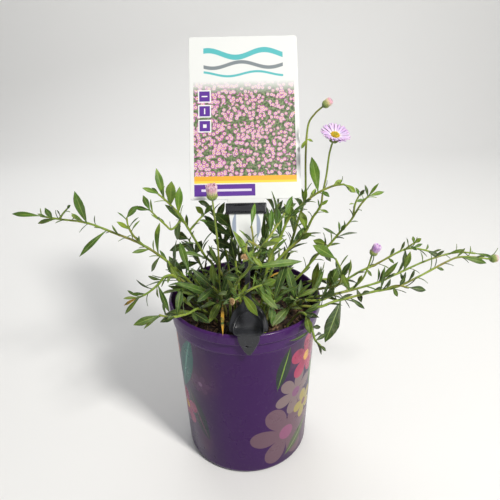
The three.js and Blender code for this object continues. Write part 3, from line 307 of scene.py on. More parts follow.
# What stands at the end of a stem, and the way it faces
HEADS = {
    "open_flower": {"kind": "flower", "axis": [0.16, -0.47, 0.87]},
    "top_bud": {"kind": "bud", "axis": [0.72, -0.1, 0.6], "radius": 3.1, "cup": 4.1, "petals": 3.9},
    "tall_bud": {"kind": "bud", "axis": [-0.02, -0.1, 0.99], "radius": 4.6, "cup": 5.4, "petals": 8.0},
    "purple_bud": {"kind": "bud", "axis": [0.4, -0.1, 0.85], "radius": 3.6, "cup": 4.4, "petals": 7.0},
    "right_low": {"kind": "bud", "axis": [0.96, 0.1, 0.1], "radius": 3.5, "cup": 5.0, "petals": 2.2},
    "dry_nod": {"kind": "dried", "axis": [-0.1, -0.1, -1.0], "radius": 2.9},
    "dry_low": {"kind": "dried", "axis": [-0.6, -0.5, 0.1], "radius": 2.4},
}

UP = np.array([0.0, 0.0, 1.0])
TOWARD_VIEWER = np.array([0.0, -0.905, 0.426])
FACE_FRONT = np.array([0.0, -0.78, 0.62])
WORD = 0xFFFFFFFF


# Growth: the same rule, draws and clearances as the solids grow by

def draws(seed):
    """Seeded draws between 0 and 1: a counter is stepped, then scrambled by shifts and products."""
    state = seed & WORD

    def draw():
        nonlocal state
        state = (state + 0x6D2B79F5) & WORD
        mixed = (state ^ (state >> 15)) * (state | 1) & WORD
        mixed ^= mixed + ((mixed ^ (mixed >> 7)) * (mixed | 61) & WORD) & WORD
        return (mixed ^ (mixed >> 14)) / 4294967296

    return draw


def unit(vectors):
    """Vectors of length one, along the last axis."""
    return vectors / np.linalg.norm(vectors, axis=-1, keepdims=True)


def around(axis, turn, aside=(0.1, 1, 0.05)):
    """Ways square to an axis, at each turn round it. The first is square to the way aside too."""
    first = unit(np.cross(axis, aside))
    return first * np.cos(turn)[..., None] + np.cross(axis, first) * np.sin(turn)[..., None]


def turns(count, shift=0.0):
    """Even turns of a circle in radians, each moved on by a shift counted in them."""
    return 2 * np.pi * (np.arange(count) + shift) / count


def point_on(path, at):
    """Points of a Catmull-Rom curve through the path's points; at counts those."""
    path, at = np.asarray(path, float), np.asarray(at, float)
    last = len(path) - 1
    i = np.minimum(np.floor(at).astype(int), last - 1)
    f = (at - i)[..., None]
    a, b, c, d = (path[np.clip(i + k, 0, last)] for k in (-1, 0, 1, 2))
    cubic = (2 * b + (c - a) * f + (2 * a - 5 * b + 4 * c - d) * f * f
             + (3 * b - a - 3 * c + d) * f * f * f)
    return 0.5 * cubic


def heading_on(path, at):
    """Way ahead along the curve, from points a twentieth of a span before and after."""
    at = np.asarray(at, float)
    ahead = point_on(path, np.minimum(at + 0.05, len(path) - 1))
    return unit(ahead - point_on(path, np.maximum(at - 0.05, 0)))


def path_length(path):
    """Sum of the straight spans between the path's points."""
    return np.linalg.norm(np.diff(np.asarray(path, float), axis=0), axis=1).sum()


def outline(t):
    """Half a blade's width, from 0 to 1: a smooth step up to the widest place, then a pointed tip."""
    s = t / LEAF_WIDEST
    rising = LEAF_ROOT + (1 - LEAF_ROOT) * s * s * (3 - 2 * s)
    s = np.clip((t - LEAF_WIDEST) / (1 - LEAF_WIDEST), 0, 1)
    return np.where(t < LEAF_WIDEST, rising, (1 - s * s) ** LEAF_POINT)


def blade_frames(leaves, t):
    """Centre, way across and way up at each t of each blade. The midrib is a quadratic arch: its crown is
    the middle between root and tip, raised square to the blade by the arch's share of its length."""
    root, tip, face = (np.stack([leaf[k] for leaf in leaves]) for k in ("root", "tip", "face"))
    arch, twist = (np.array([leaf[k] for leaf in leaves])[:, None] for k in ("arch", "twist"))
    along = unit(tip - root)
    rise = unit(face - along * (face * along).sum(-1, keepdims=True))
    crown = (root + tip) / 2 + rise * arch * np.linalg.norm(tip - root, axis=-1, keepdims=True)
    root, tip, crown, rise = (x[:, None, :] for x in (root, tip, crown, rise))
    s = t[:, None]
    centre = root * (1 - s) ** 2 + crown * 2 * s * (1 - s) + tip * s * s
    heading = unit((crown - root) * (1 - s) + (tip - crown) * s)
    level = unit(np.cross(heading, rise))
    turn = (twist * t)[..., None]
    across = level * np.cos(turn) + np.cross(level, heading) * np.sin(turn)
    return centre, across, np.cross(across, heading)


def make_leaf(root, tip, width, face, random):
    """A blade's own numbers, with its arch and twist drawn."""
    arch = 0.06 + 0.12 * random()
    return {"root": root, "tip": tip, "width": width, "face": face, "arch": arch,
            "twist": 0.7 * random() - 0.35}


# How far along a blade it takes up room, and keeps clear of its own stem's other blades
ROOT_FREE = 0.14
FREE_FROM = 0.35


def blade_samples(leaf):
    """Points spread over a blade, from a little past its root, and how far along each is."""
    rows = int(np.ceil(np.linalg.norm(leaf["tip"] - leaf["root"]) / 2.6))
    t = np.arange(rows + 1) / rows
    t = t[t >= ROOT_FREE]
    s = np.linspace(-1, 1, 5 if leaf["width"] > 6 else 3)
    centre, across, up = (x[0][:, None, :] for x in blade_frames([leaf], t))
    half = (leaf["width"] / 2 * outline(t))[:, None, None]
    points = centre + across * half * s[:, None] + up * LEAF_FOLD * half * np.abs(s)[:, None]
    return points.reshape(-1, 3), np.repeat(t, len(s))


class Room:
    """What has been placed so far: each thing is (owner, whether it is a stem, points, how far along each
    point is), with a ball round its points. Leaves of one owner may meet where they leave their stem."""

    def __init__(self):
        self.things, self.centres, self.reaches = [], np.zeros((0, 3)), np.zeros(0)

    def take(self, owner, is_stem, points, along):
        centre, reach = ball_round(points)
        self.things.append((owner, is_stem, points, along))
        self.centres = np.vstack([self.centres, centre])
        self.reaches = np.append(self.reaches, reach)

    def take_stem(self, plant):
        points = stem_samples(plant["path"])
        self.take(plant["owner"], True, points, np.ones(len(points)))

    def near(self, points, room):
        """The things whose balls come within room of the points' ball."""
        centre, reach = ball_round(points)
        apart = np.linalg.norm(self.centres - centre, axis=1) - self.reaches - reach
        return [self.things[k] for k in np.flatnonzero(apart <= room)]

    def seat_leaf(self, owner, leaf):
        """Takes a leaf in where it keeps its room from every stem and leaf, and from pot, soil, card and
        clip, and says whether it did."""
        points, along = blade_samples(leaf)
        if in_pot(points).any() or in_card(points).any():
            return False
        for other, is_stem, others, other_along in self.near(points, LEAF_TO_STEM):
            mine = points
            if other == owner:
                if is_stem:
                    continue
                mine, others = points[along >= FREE_FROM], others[other_along >= FREE_FROM]
                if len(mine) == 0 or len(others) == 0:
                    continue
            room = LEAF_TO_STEM if is_stem else OWN_LEAF if other == owner else LEAF_TO_LEAF
            if closest(mine, others) < room:
                return False
        self.take(owner, False, points, along)
        return True

    def clear_stem(self, points):
        """True where a stem keeps its room from every other stem and leaf."""
        return all(closest(points, others) > (STEM_TO_STEM if is_stem else LEAF_TO_STEM)
                   for _, is_stem, others, _ in self.near(points, STEM_TO_STEM))


def ball_round(points):
    """Mean of some points, and how far off the farthest of them is."""
    centre = points.mean(0)
    return centre, np.linalg.norm(points - centre, axis=1).max()


def closest(one, other):
    """Least distance between two sets of points."""
    return np.sqrt(((one[:, None, :] - other[None, :, :]) ** 2).sum(-1).min())


def in_pot(points):
    """True in the rim's ring and in the filled pot, with a few millimetres to spare."""
    radius, height = np.hypot(points[:, 0], points[:, 1]), points[:, 2]
    ring = (radius > 61.5) & (radius < RIM_RADIUS + 3.5) & (height < POT_HEIGHT + 3)
    return ring | ((radius < 66) & (height < 150.4))


def in_card(points):
    """True in the leaning card and clip, with a little room round each of their widths."""
    start = points - CARD_FOOT
    height = start @ np.array([0, np.sin(CARD_LEAN), np.cos(CARD_LEAN)])
    proud = np.abs(start @ np.array([0, -np.cos(CARD_LEAN), np.sin(CARD_LEAN)]))
    side, y, z = np.abs(start[:, 0]), points[:, 1], points[:, 2]
    bands = [
        (height > CARD_BOTTOM - 2) & (height < CARD_BOTTOM + CARD_HEIGHT + 2),
        (side < 20) & (y > -76.5) & (y < -50) & (z < 178),
        (height < 0) | (height > CARD_BOTTOM),
        height < 28,
        height > 92,
    ]
    widths = [(side < 48) & (proud < 2.6), True, False, (side < 20 - height * 0.55) & (proud < 5),
              (side < 19) & (proud < 4.5)]
    return np.select(bands, widths, (side < np.where(height > 60, 13.5, 4.4)) & (proud < 4))


def place_traced(room, owner, path, spot, seed):
    """A leaf seen in front keeps its place there, and is bent nearer or farther until it is clear."""
    at, x, y, z, width = spot
    root = point_on(path, at)
    for go in range(TRIES):
        random = draws(seed * 97 + go)
        depth = (1 if go % 2 else -1) * np.ceil(go / 2) * 1.6
        tip = root + (np.array([x, y, z]) - root) * (1 - 0.012 * go) + TOWARD_VIEWER * depth
        leaf = make_leaf(root, tip, width, FACE_FRONT, random)
        if room.seat_leaf(owner, leaf):
            return leaf
    return None


def place_grown(room, owner, path, at, turn, length, seed, tries=TRIES):
    """The other leaves stand round the stem a golden angle apart, each drawn again until it is clear."""
    root, heading = point_on(path, at), heading_on(path, at)
    for go in range(tries):
        random = draws(seed * 131 + go)
        angle = turn + (random() - 0.5) * (0.8 + 0.12 * go)
        spread = 0.75 + 0.55 * random()
        outward = around(heading, angle, STEM_ASIDE)
        way = unit(heading * np.cos(spread) + outward * np.sin(spread) + UP * 0.22)
        reach = length * (0.72 + 0.42 * random()) * (1 - 0.01 * go)
        width = min(reach * (LEAF_WIDTH_SHARE + 0.08 * random()), LEAF_WIDTH_MOST)
        leaf = make_leaf(root, root + way * reach, width, unit(heading + UP * 0.7), random)
        if room.seat_leaf(owner, leaf):
            return leaf
    return None


def stem_samples(path):
    """Points about 2.5 mm apart along a path."""
    count = int(np.ceil(path_length(path) / 2.5))
    return point_on(path, np.arange(count + 1) / count * (len(path) - 1))


def grow_shoot(room, number):
    """A crown shoot leans out from the middle, and is drawn again until its stem is clear."""
    for go in range(TRIES):
        random = draws(number * 211 + go)
        angle = GOLDEN_ANGLE * number + (random() - 0.5) * 1.2
        radius = SHOOT_INNER + ((SHOOT_OUTER - SHOOT_INNER) * np.sqrt((number + 0.5) / SHOOTS)
                                * (0.85 + 0.15 * random()))
        outward = np.array([np.cos(angle), np.sin(angle), 0])
        lean = 0.25 + 0.5 * random()
        height = SHOOT_HEIGHT * (0.8 + 0.6 * random())
        base = radius * outward + UP * STEM_START
        path = [base, base + UP * height * 0.5 + outward * height * 0.2 * lean,
                base + UP * height + outward * height * lean * 0.8]
        points = stem_samples(path)
        if not in_card(points[1:]).any() and room.clear_stem(points):
            name = f"crown_shoot_{number + 1:02d}"
            return {"name": name, "joins": None, "owner": name, "path": path, "grown": [],
                    "fill": [SHOOT_LEAVES, 0.35, 2, SHOOT_HEIGHT]}
    return None


@functools.cache
def grow_all():
    """Every stem with the leaves that found room, in the order that the solids were placed, and then the
    small leaflets that only the looks have."""
    room = Room()
    plants = [{**stem, "owner": stem["joins"] or stem["name"], "grown": []} for stem in STEMS]
    for plant in plants:
        room.take_stem(plant)
    for number, plant in enumerate(plants):
        for i, spot in enumerate(plant["leaves"]):
            seed = 1000 + number * 40 + i
            plant["grown"].append(place_traced(room, plant["owner"], plant["path"], spot, seed))
    for number in range(SHOOTS):
        shoot = grow_shoot(room, number)
        if shoot:
            room.take_stem(shoot)
            plants.append(shoot)
    for number, plant in enumerate(plants):
        count, low, high, length = plant["fill"]
        for i in range(count):
            at = low + (high - low) * (i + 0.5) / count
            plant["grown"].append(place_grown(room, plant["owner"], plant["path"], at,
                                              GOLDEN_ANGLE * i + number, length, 5000 + number * 40 + i))
    for plant in plants:
        plant["grown"] = [leaf for leaf in plant["grown"] if leaf]
    add_leaflets(room, plants)
    return plants


LEAFLET_SPACING = 7.0
LEAFLET_LENGTH = 11.0
BASAL_LENGTH = 24.0
BARE_SHARE = {"open_flower": 0.4, "top_bud": 0.5, "tall_bud": 0.75, "purple_bud": 0.6}


def add_leaflets(room, plants):
    """Small leaves along every stem, longer near the soil, where they find room among the others. Stems
    that carry a bloom are bare in the share of their length under it that BARE_SHARE says."""
    for number, plant in enumerate(plants):
        path = plant["path"]
        last = len(path) - 1
        count = int(path_length(path) / LEAFLET_SPACING)
        plant["leaflets"] = []
        for i in range(count):
            at = last * (i + 0.4) / count
            if at > last * (1 - BARE_SHARE.get(plant["name"], 0)):
                continue
            low = np.clip((205 - point_on(path, at)[2]) / 50, 0, 1)
            length = LEAFLET_LENGTH + (BASAL_LENGTH - LEAFLET_LENGTH) * low
            leaf = place_grown(room, plant["owner"], path, at, GOLDEN_ANGLE * i + number + 1.2, length,
                               20000 + number * 90 + i, 6)
            if leaf:
                plant["leaflets"].append(leaf)


# Surfaces. A shell is a dict of arrays: points in millimetres, quads and triangles by point number, a UV
# for each corner, tone and wither for each point, and the number of its material in its piece.

def tubes(rings, finish=0, tone=0.5, wither=0.0, across=1.0, along=None):
    """Closed tubes from rings shaped (tubes, rows, sides, 3). Neighbouring rings are joined by quads, and
    both end rings are zipped shut between their two halves, so sides is even. The UV map runs from 0 to
    across round a ring, and from 0 to 1, or through the numbers in along, from row to row."""
    count, rows, sides = rings.shape[:3]
    step, row = np.arange(sides), np.arange(rows - 1)[:, None] * sides
    after = (step + 1) % sides
    wall = np.stack([row + step, row + after, row + sides + after, row + sides + step], -1).reshape(-1, 4)
    k = np.arange(1, sides // 2 - 1)
    zipped = np.concatenate([
        [[0, sides - 1, 1]],
        np.stack([k, sides - k, k + 1], -1),
        np.stack([sides - k, sides - k - 1, k + 1], -1),
        [[sides // 2 - 1, sides // 2 + 1, sides // 2]],
    ])
    caps = np.concatenate([zipped, zipped[:, ::-1] + (rows - 1) * sides])
    u = np.linspace(0, across, sides + 1)
    v = np.linspace(0, 1, rows) if along is None else np.asarray(along, float)
    corner_u = np.stack([u[:-1], u[1:], u[1:], u[:-1]], -1)[None].repeat(rows - 1, 0)
    corner_v = np.stack([v[:-1], v[:-1], v[1:], v[1:]], -1)[:, None].repeat(sides, 1)
    wall_uv = np.stack([corner_u, corner_v], -1).reshape(-1, 2)
    cap_uv = np.stack([u[caps % sides], v[caps // sides]], -1).reshape(-1, 2)
    shift = (np.arange(count) * rows * sides)[:, None, None]
    return face_outwards({
        "points": rings.reshape(-1, 3),
        "quads": (wall[None] + shift).reshape(-1, 4),
        "triangles": (caps[None] + shift).reshape(-1, 3),
        "quad_uv": np.tile(wall_uv, (count, 1)),
        "triangle_uv": np.tile(cap_uv, (count, 1)),
        "tone": np.repeat(np.broadcast_to(tone, count), rows * sides),
        "wither": np.repeat(np.broadcast_to(wither, count), rows * sides),
        "finish": finish,
    })


def spikes(roots, tips, width, finish, tone=0.5):
    """Closed three-sided needles, width across at the root and pointed at the tip."""
    count = len(roots)
    way = unit(tips - roots)[:, None]
    base = roots[:, None] + width / 2 * around(way, turns(3), [0.31, 0.52, 0.79])
    points = np.concatenate([base, tips[:, None]], 1).reshape(-1, 3)
    faces = np.array([[0, 1, 3], [1, 2, 3], [2, 0, 3], [0, 2, 1]])
    return face_outwards({
        "points": points,
        "quads": np.zeros((0, 4), int),
        "triangles": (faces[None] + (np.arange(count) * 4)[:, None, None]).reshape(-1, 3),
        "quad_uv": np.zeros((0, 2)),
        "triangle_uv": np.zeros((count * 12, 2)),
        "tone": np.full(len(points), tone),
        "wither": np.zeros(len(points)),
        "finish": finish,
    })


def face_outwards(shell):
    """Turns every face over where the volume that the faces enclose comes out negative."""
    points = shell["points"] - shell["points"].mean(0)
    quads, triangles = shell["quads"], shell["triangles"]
    corners = np.concatenate([quads[:, [0, 1, 2]], quads[:, [0, 2, 3]], triangles])
    a, b, c = (points[corners[:, k]] for k in range(3))
    if (a * np.cross(b, c)).sum() < 0:
        shell["quads"] = quads[:, ::-1]
        shell["triangles"] = triangles[:, ::-1]
        shell["quad_uv"] = shell["quad_uv"].reshape(-1, 4, 2)[:, ::-1].reshape(-1, 2)
        shell["triangle_uv"] = shell["triangle_uv"].reshape(-1, 3, 2)[:, ::-1].reshape(-1, 2)
    return shell


def new_object(name, data):
    """A new object in the scene."""
    made = bpy.data.objects.new(name, data)
    bpy.context.scene.collection.objects.link(made)
    return made


def build(name, shells, finishes, nodes=(), crease=None):
    """One object from its shells, in metres, riding on the part's one body and standing for its nodes."""
    def joined(*keys):
        return np.concatenate([shell[key] for key in keys for shell in shells])

    shifts = np.cumsum([0] + [len(shell["points"]) for shell in shells])
    quads, triangles = (np.concatenate([shell[key] + shift for shell, shift in zip(shells, shifts)])
                        for key in ("quads", "triangles"))
    points = joined("points") * MM
    uv = joined("quad_uv", "triangle_uv")
    finish = np.concatenate([np.full(len(shell[key]), shell["finish"])
                             for key in ("quads", "triangles") for shell in shells])
    mesh = bpy.data.meshes.new(name)
    mesh.vertices.add(len(points))
    mesh.vertices.foreach_set("co", points.astype(np.float32).ravel())
    corners = np.concatenate([quads.ravel(), triangles.ravel()])
    mesh.loops.add(len(corners))
    mesh.loops.foreach_set("vertex_index", corners.astype(np.int32))
    sizes = np.concatenate([np.full(len(quads), 4), np.full(len(triangles), 3)])
    mesh.polygons.add(len(sizes))
    mesh.polygons.foreach_set("loop_start", (np.cumsum(sizes) - sizes).astype(np.int32))
    mesh.polygons.foreach_set("material_index", finish.astype(np.int32))
    mesh.polygons.foreach_set("use_smooth", np.ones(len(sizes), bool))
    mesh.update(calc_edges=True)
    mesh.uv_layers.new(name="surface").data.foreach_set("uv", uv.astype(np.float32).ravel())
    for attribute in ("tone", "wither"):
        values = mesh.attributes.new(attribute, "FLOAT", "POINT").data
        values.foreach_set("value", joined(attribute).astype(np.float32))
    for material in finishes:
        mesh.materials.append(material)
    if crease is not None:
        mesh.set_sharp_from_angle(angle=np.radians(crease))
    piece = new_object(name, mesh)
    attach(piece, "root")
    if nodes:
        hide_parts(*nodes)
    return piece


def noise(points, size, seed):
    """Smooth value noise from -1 to 1: seeded numbers on a lattice of that size, blended between."""
    table = np.random.default_rng(seed).uniform(-1, 1, (32, 32, 32))
    scaled = points / size
    cell = np.floor(scaled).astype(int)
    f = scaled - cell
    f = f * f * (3 - 2 * f)
    total = 0
    for corner in np.ndindex(2, 2, 2):
        weight = np.where(corner, f, 1 - f).prod(-1)
        total = total + weight * table[tuple(np.moveaxis((cell + corner) % 32, -1, 0))]
    return total


def smooth(x):
    """Smooth step from 0 to 1."""
    x = np.clip(x, 0, 1)
    return x * x * (3 - 2 * x)


def rounded(profile, radius, steps=4):
    """A profile with each inner corner replaced by a parabola that starts a radius before it."""
    profile = np.asarray(profile, float)
    points = [profile[0]]
    for before, corner, after in zip(profile, profile[1:], profile[2:]):
        back, ahead = before - corner, after - corner
        start = corner + back * min(radius / np.linalg.norm(back), 0.45)
        end = corner + ahead * min(radius / np.linalg.norm(ahead), 0.45)
        t = np.linspace(0, 1, steps)[:, None]
        points.extend(start * (1 - t) ** 2 + corner * 2 * t * (1 - t) + end * t * t)
    return np.array([*points, profile[-1]])


def turned(profile, sides):
    """Rings of a profile of radii and heights, turned about the upright axis."""
    turn = turns(sides)
    radius, height = profile[:, 0, None], profile[:, 1, None]
    return np.stack([radius * np.sin(turn), -radius * np.cos(turn), height + 0 * turn], -1)[None]


# Plant shapes

def two_faces(middle, up, over, under):
    """Rings out over a grid's top face and back underneath, at their heights over and under its middle."""
    top, low = (middle + up * height[..., None] for height in (over, under))
    return np.concatenate([top, low[:, :, -2:0:-1]], 2)


BLADE_COLUMNS = np.array([-1, -0.86, -0.6, -0.28, 0, 0.28, 0.6, 0.86, 1])
BLADE_THICK = 0.17
MIDRIB_THICK = 0.2
MIDRIB_GROOVE = 0.12
MIDRIB_HALF = 0.16
PETIOLE_END = 0.2
EDGE_WAVE = 0.09
TOOTH_RISE = 0.13
TOOTH_DROP = 0.045
# Kinds of blade: widths in millimetres from and to, rows, and faint teeth on each side
BLADE_KINDS = ((0, 4.6, 12, 0), (4.6, 7.5, 20, 1), (7.5, 99, 30, 3))
WITHERED_SHARE = 0.1
WITHERED_BELOW = 190.0
WITHERED_WIDTH = 4.0


def closing(rows):
    """Places from 0 to 1 that lie closer and closer: the sine of even steps to a quarter turn."""
    return np.sin(np.linspace(0, 1, rows) * np.pi / 2)


def blade_rings(leaves, rows, teeth, random):
    """Rings round many blades at once, out from the left edge over the top face and back underneath. Half
    the width is the outline, drawn in to a round stalk at the root, times saw teeth that rise slowly
    towards the tip and drop fast. The blade is folded up from a grooved midrib, waves a little along both
    edges, and its tip curls down."""
    count = len(leaves)
    t = closing(rows) * 0.994
    centre, across, up = blade_frames(leaves, t)
    width = np.array([leaf["width"] for leaf in leaves])[:, None]
    saw = np.zeros((count, 2, rows))
    for k in range(teeth):
        peak = 0.5 + 0.4 * (k + 0.6) / teeth + random.uniform(-0.03, 0.03, (count, 2, 1))
        before = np.clip((t - peak + TOOTH_RISE) / TOOTH_RISE, 0, 1) * (t <= peak)
        after = np.clip(1 - (t - peak) / TOOTH_DROP, 0, 1) * (t > peak)
        saw = np.maximum(saw, (before + after) * random.uniform(0.03, 0.1, (count, 2, 1)))
    body = width / 2 * outline(t)
    stalk = smooth(t / PETIOLE_END)
    half = (LEAF_FOOT + (body - LEAF_FOOT) * stalk)[:, None] * (1 + saw * 0.9 - 0.04)
    s = BLADE_COLUMNS
    side = np.moveaxis(np.where(s[:, None] < 0, half[:, None, 0], half[:, None, 1]), 1, 2)
    phase, pace = random.uniform(0, 6.3, (count, 1, 1)), random.uniform(5, 9, (count, 1, 1))
    wave = np.sin(pace * t[:, None] + phase + 1.3 * np.sign(s)) * np.abs(s) ** 2 * EDGE_WAVE
    fold = LEAF_FOLD * (np.sqrt(s * s + 0.015) - 0.12) - 0.05 * np.abs(s) ** 4
    curl = -random.uniform(0.0, 0.5, (count, 1, 1)) * np.clip((t[:, None] - 0.6) / 0.4, 0, 1) ** 2
    lift = side * (fold + wave + curl * 0.5)
    rib = np.exp(-(s / MIDRIB_HALF) ** 2) * (1 - 0.75 * t[:, None])
    edge = np.sqrt(np.clip(1 - s ** 8, 0, 1))
    stem = (1 - stalk)[:, None] * LEAF_FOOT * 0.8 * np.sqrt(np.clip(1 - s * s, 0, 1))
    over = edge * BLADE_THICK - MIDRIB_GROOVE * rib + stem
    under = edge * BLADE_THICK + MIDRIB_THICK * rib + stem
    middle = centre[:, :, None] + across[:, :, None] * (side * s)[..., None]
    return two_faces(middle, up[:, :, None], lift + over, lift - under)


def leaf_shells(leaves, seed, finish, painted_shade_factor=1.0):
    """Blades of each kind, the wider ones with lighter tones, and some small low ones withered. The last
    argument scales every tone down as painted shade.
    """
    random = np.random.default_rng(seed)
    shells = []
    for narrow, wide, rows, teeth in BLADE_KINDS:
        chosen = [leaf for leaf in leaves if narrow <= leaf["width"] < wide]
        if chosen:
            rings = blade_rings(chosen, rows, teeth, random)
            small = [leaf["root"][2] < WITHERED_BELOW and leaf["width"] < WITHERED_WIDTH for leaf in chosen]
            wither = np.array(small) * (random.random(len(chosen)) < WITHERED_SHARE)
            tone = painted_shade_factor * random.uniform(0.12 * teeth, 1, len(chosen))
            shells.append(tubes(rings, finish, tone, wither, across=2.0, along=closing(rows)))
    return shells


STEM_SIDES = 10
STEM_STEP = 2.2
STEM_SLIM = 0.94
NODE_SWELL = 0.2
NODE_REACH = 2.0
HAIRS_PER_MM = 1.5
HAIR_WIDTH = 0.11


def stem_radius(plant, at):
    """A stem's radius at places on its path: it shrinks evenly towards the end, and a twig is thinner."""
    taper = STEM_RADIUS_LOW + (STEM_RADIUS_TOP - STEM_RADIUS_LOW) * at / (len(plant["path"]) - 1)
    return taper * (BRANCH_THIN if plant["joins"] else 1.0) * STEM_SLIM


def lengths_along(line):
    """How far along a line each of its points is."""
    return np.concatenate([[0], np.cumsum(np.linalg.norm(np.diff(line, axis=0), axis=1))])


def ring_round(centre, heading, radius, sides):
    """Round rings square to a heading, one for each centre."""
    spokes = around(heading[..., None, :], turns(sides), STEM_ASIDE)
    return centre[..., None, :] + spokes * np.asarray(radius)[..., None, None]


def stem_shell(plant, finish, random):
    """A tapering tube along the stem's curve, a little thicker where each leaf leaves it. A stem from the
    soil starts as a straight foot below it."""
    path = np.asarray(plant["path"], float)
    at = np.linspace(0, len(path) - 1, int(path_length(path) / STEM_STEP) + 2)
    centre, heading = point_on(path, at), heading_on(path, at)
    radius = stem_radius(plant, at)
    roots = np.array([leaf["root"] for leaf in plant["grown"] + plant["leaflets"]]).reshape(-1, 3)
    if len(roots):
        apart = np.linalg.norm(centre[:, None] - roots[None], axis=-1)
        radius = radius * (1 + NODE_SWELL * np.exp(-(apart / NODE_REACH) ** 2).max(1))
    if not plant["joins"]:
        foot = np.array([[*path[0, :2], STEM_FOOT], [*path[0, :2], STEM_START - 3]])
        centre = np.concatenate([foot, centre])
        heading = np.concatenate([[UP, UP], heading])
        radius = np.concatenate([radius[:1], radius[:1], radius])
    rings = ring_round(centre, heading, radius, STEM_SIDES)[None]
    return tubes(rings, finish, random.random(), along=lengths_along(centre) / 10)


def stem_hairs(plant, finish, random, settings):
    """Fine short hairs that stand out all round a stem and lean a little up it, denser near its end."""
    path = plant["path"]
    count = int(path_length(path) * settings.hairs)
    at = (len(path) - 1) * random.random(count) ** 0.7
    at = at[point_on(path, at)[:, 2] > STEM_START + 6]
    centre, heading = point_on(path, at), heading_on(path, at)
    out = around(heading, random.uniform(0, 2 * np.pi, len(at)), STEM_ASIDE)
    length = random.uniform(0.45, 1, len(at))[:, None] * settings.hair_length / MM
    roots = centre + out * (stem_radius(plant, at[:, None]) - 0.1)
    return spikes(roots, roots + (out + heading * 0.35) * length, HAIR_WIDTH, finish)


def bowl(origin, axis, profile, sides, flute=0.0, flutes=1):
    """A closed solid turned about a tilted axis, from a profile of heights and radii, lightly fluted."""
    turn = turns(sides)
    height, radius = np.asarray(profile, float).T
    out = radius[:, None] * (1 + flute * np.cos(flutes * turn))
    return (origin + axis * height[:, None, None] + around(axis, turn) * out[..., None])[None]


def straps(base, tip, up, width, rows, bulge, thick, shape, random, finish=0, cup=0.0, notch=0.0):
    """Many narrow blades at once, lens-shaped across. Each runs straight from base to tip with a bulge
    along up, half its width is shape(t), and cup lifts its edges like a channel. notch pulls the middle
    of the tip back."""
    t = np.linspace(0, 1, rows)
    along = tip - base
    heading = unit(along)
    across = unit(np.cross(heading, up))
    rise = np.cross(across, heading)
    s = np.array([-1, -0.55, 0, 0.55, 1])
    half = (width[:, None] / 2 * shape(t))[:, :, None]
    arch = bulge[:, None] * 4 * t * (1 - t)
    centre = base[:, None] + along[:, None] * t[:, None] + rise[:, None] * arch[..., None]
    body = thick * np.sqrt(np.clip(1 - s ** 4, 0, 1)) * np.minimum(1, 2.5 * half / half.max())
    lift = cup * half * np.abs(s) ** 2
    pulled = -notch * (t[:, None] ** 12) * (1 - np.abs(s))
    spread = (centre[:, :, None] + across[:, None, None] * (half * s)[..., None]
              + heading[:, None, None] * pulled[None, ..., None])
    rings = two_faces(spread, rise[:, None, None], lift + body, lift - body)
    return tubes(rings, finish, random.random(len(base)), across=2.0)


def ray_shape(t):
    """A ray's half width: narrow at the foot, even along, with a rounded tip."""
    tip = np.clip((t - 0.8) / 0.2, 0, 1) * 0.93
    return (0.35 + 0.65 * smooth(t / 0.45)) * np.sqrt(1 - tip ** 2)


def bract_shape(t):
    """A bract's half width: full low down, drawn out to a fine tip."""
    return np.clip(1 - t ** 1.6, 0.04, 1) * (0.7 + 0.3 * smooth(t / 0.3))


def spiral(axis, count, reach):
    """Ways and distances out from an axis, a golden angle apart and evenly spread over a disc."""
    k = np.arange(count)
    return around(axis, GOLDEN_ANGLE * k), reach * np.sqrt((k[:, None] + 0.5) / count)


RAYS = 46
DISC_FLORETS = 130
DISC_RADIUS = 3.5
DISC_OPEN = 1.7
DOME_HEIGHT = 2.9
DOME_FALL = 0.11
FLORET_HEIGHTS = np.array([-0.5, 0.0, 0.28, 0.42, 0.5])
FLORET_RADII = np.array([0.14, 0.2, 0.27, 0.2, 0.06])


def flower_shells(end, axis):
    """The bloom: two ranks of rays in a shallow bowl round a core, and disc florets in spirals on a dome.
    Rays on its front side are up to a fifth shorter and stand up more."""
    random = np.random.default_rng(52)
    centre = end + axis * CUP_DEPTH
    way = around(axis, turns(RAYS, random.uniform(-0.25, 0.25, RAYS)))
    rank = (np.arange(RAYS) % 2)[:, None]
    front = np.clip(-way[:, 1:2], 0, 1)
    reach = (RAY_REACH - 0.7 * rank - random.uniform(0, 1.0, (RAYS, 1))) * (1 - 0.2 * front)
    rise = RAY_RISE * (0.75 + 0.35 * rank) + random.uniform(-0.5, 0.5, (RAYS, 1)) + 1.6 * front
    base = centre + way * 2.5 + axis * (0.25 + 0.35 * rank)
    tip = centre + way * reach + axis * (rise + 0.2)
    width = random.uniform(2.1, 2.7, RAYS)
    rays = straps(base, tip, np.broadcast_to(axis, way.shape), width, 12,
                  random.uniform(0.2, 0.9, RAYS), 0.12, ray_shape, random, cup=-0.22, notch=0.25)
    core = tubes(bowl(centre, axis, [[-0.2, 1.0], [0.0, 2.9], [0.9, 3.1], [1.0, 0.8]], 20), 0, 0.1)
    way, out = spiral(axis, DISC_FLORETS, DISC_RADIUS)
    seat = centre + axis * (DOME_HEIGHT - DOME_FALL * out ** 2) + way * out
    normal = unit(axis + way * out * (0.22 / 1.5))
    opened = out > DISC_OPEN
    height = FLORET_HEIGHTS * np.where(opened, 1.25, 0.75)
    middle = seat[:, None] + normal[:, None] * height[..., None]
    rings = ring_round(middle, np.broadcast_to(normal[:, None], middle.shape),
                       np.broadcast_to(FLORET_RADII, height.shape), 6)
    florets = tubes(rings, 0, 0.25 + 0.5 * opened[:, 0] + random.uniform(-0.2, 0.2, DISC_FLORETS))
    dome = rounded([[0.9, 0.6], [1.1, 2.9], [1.7, 2.8], [2.6, 1.6], [2.75, 0.3]], 0.5)
    return [core, rays], [tubes(bowl(centre, axis, dome, 20), 0, 0.1), florets]


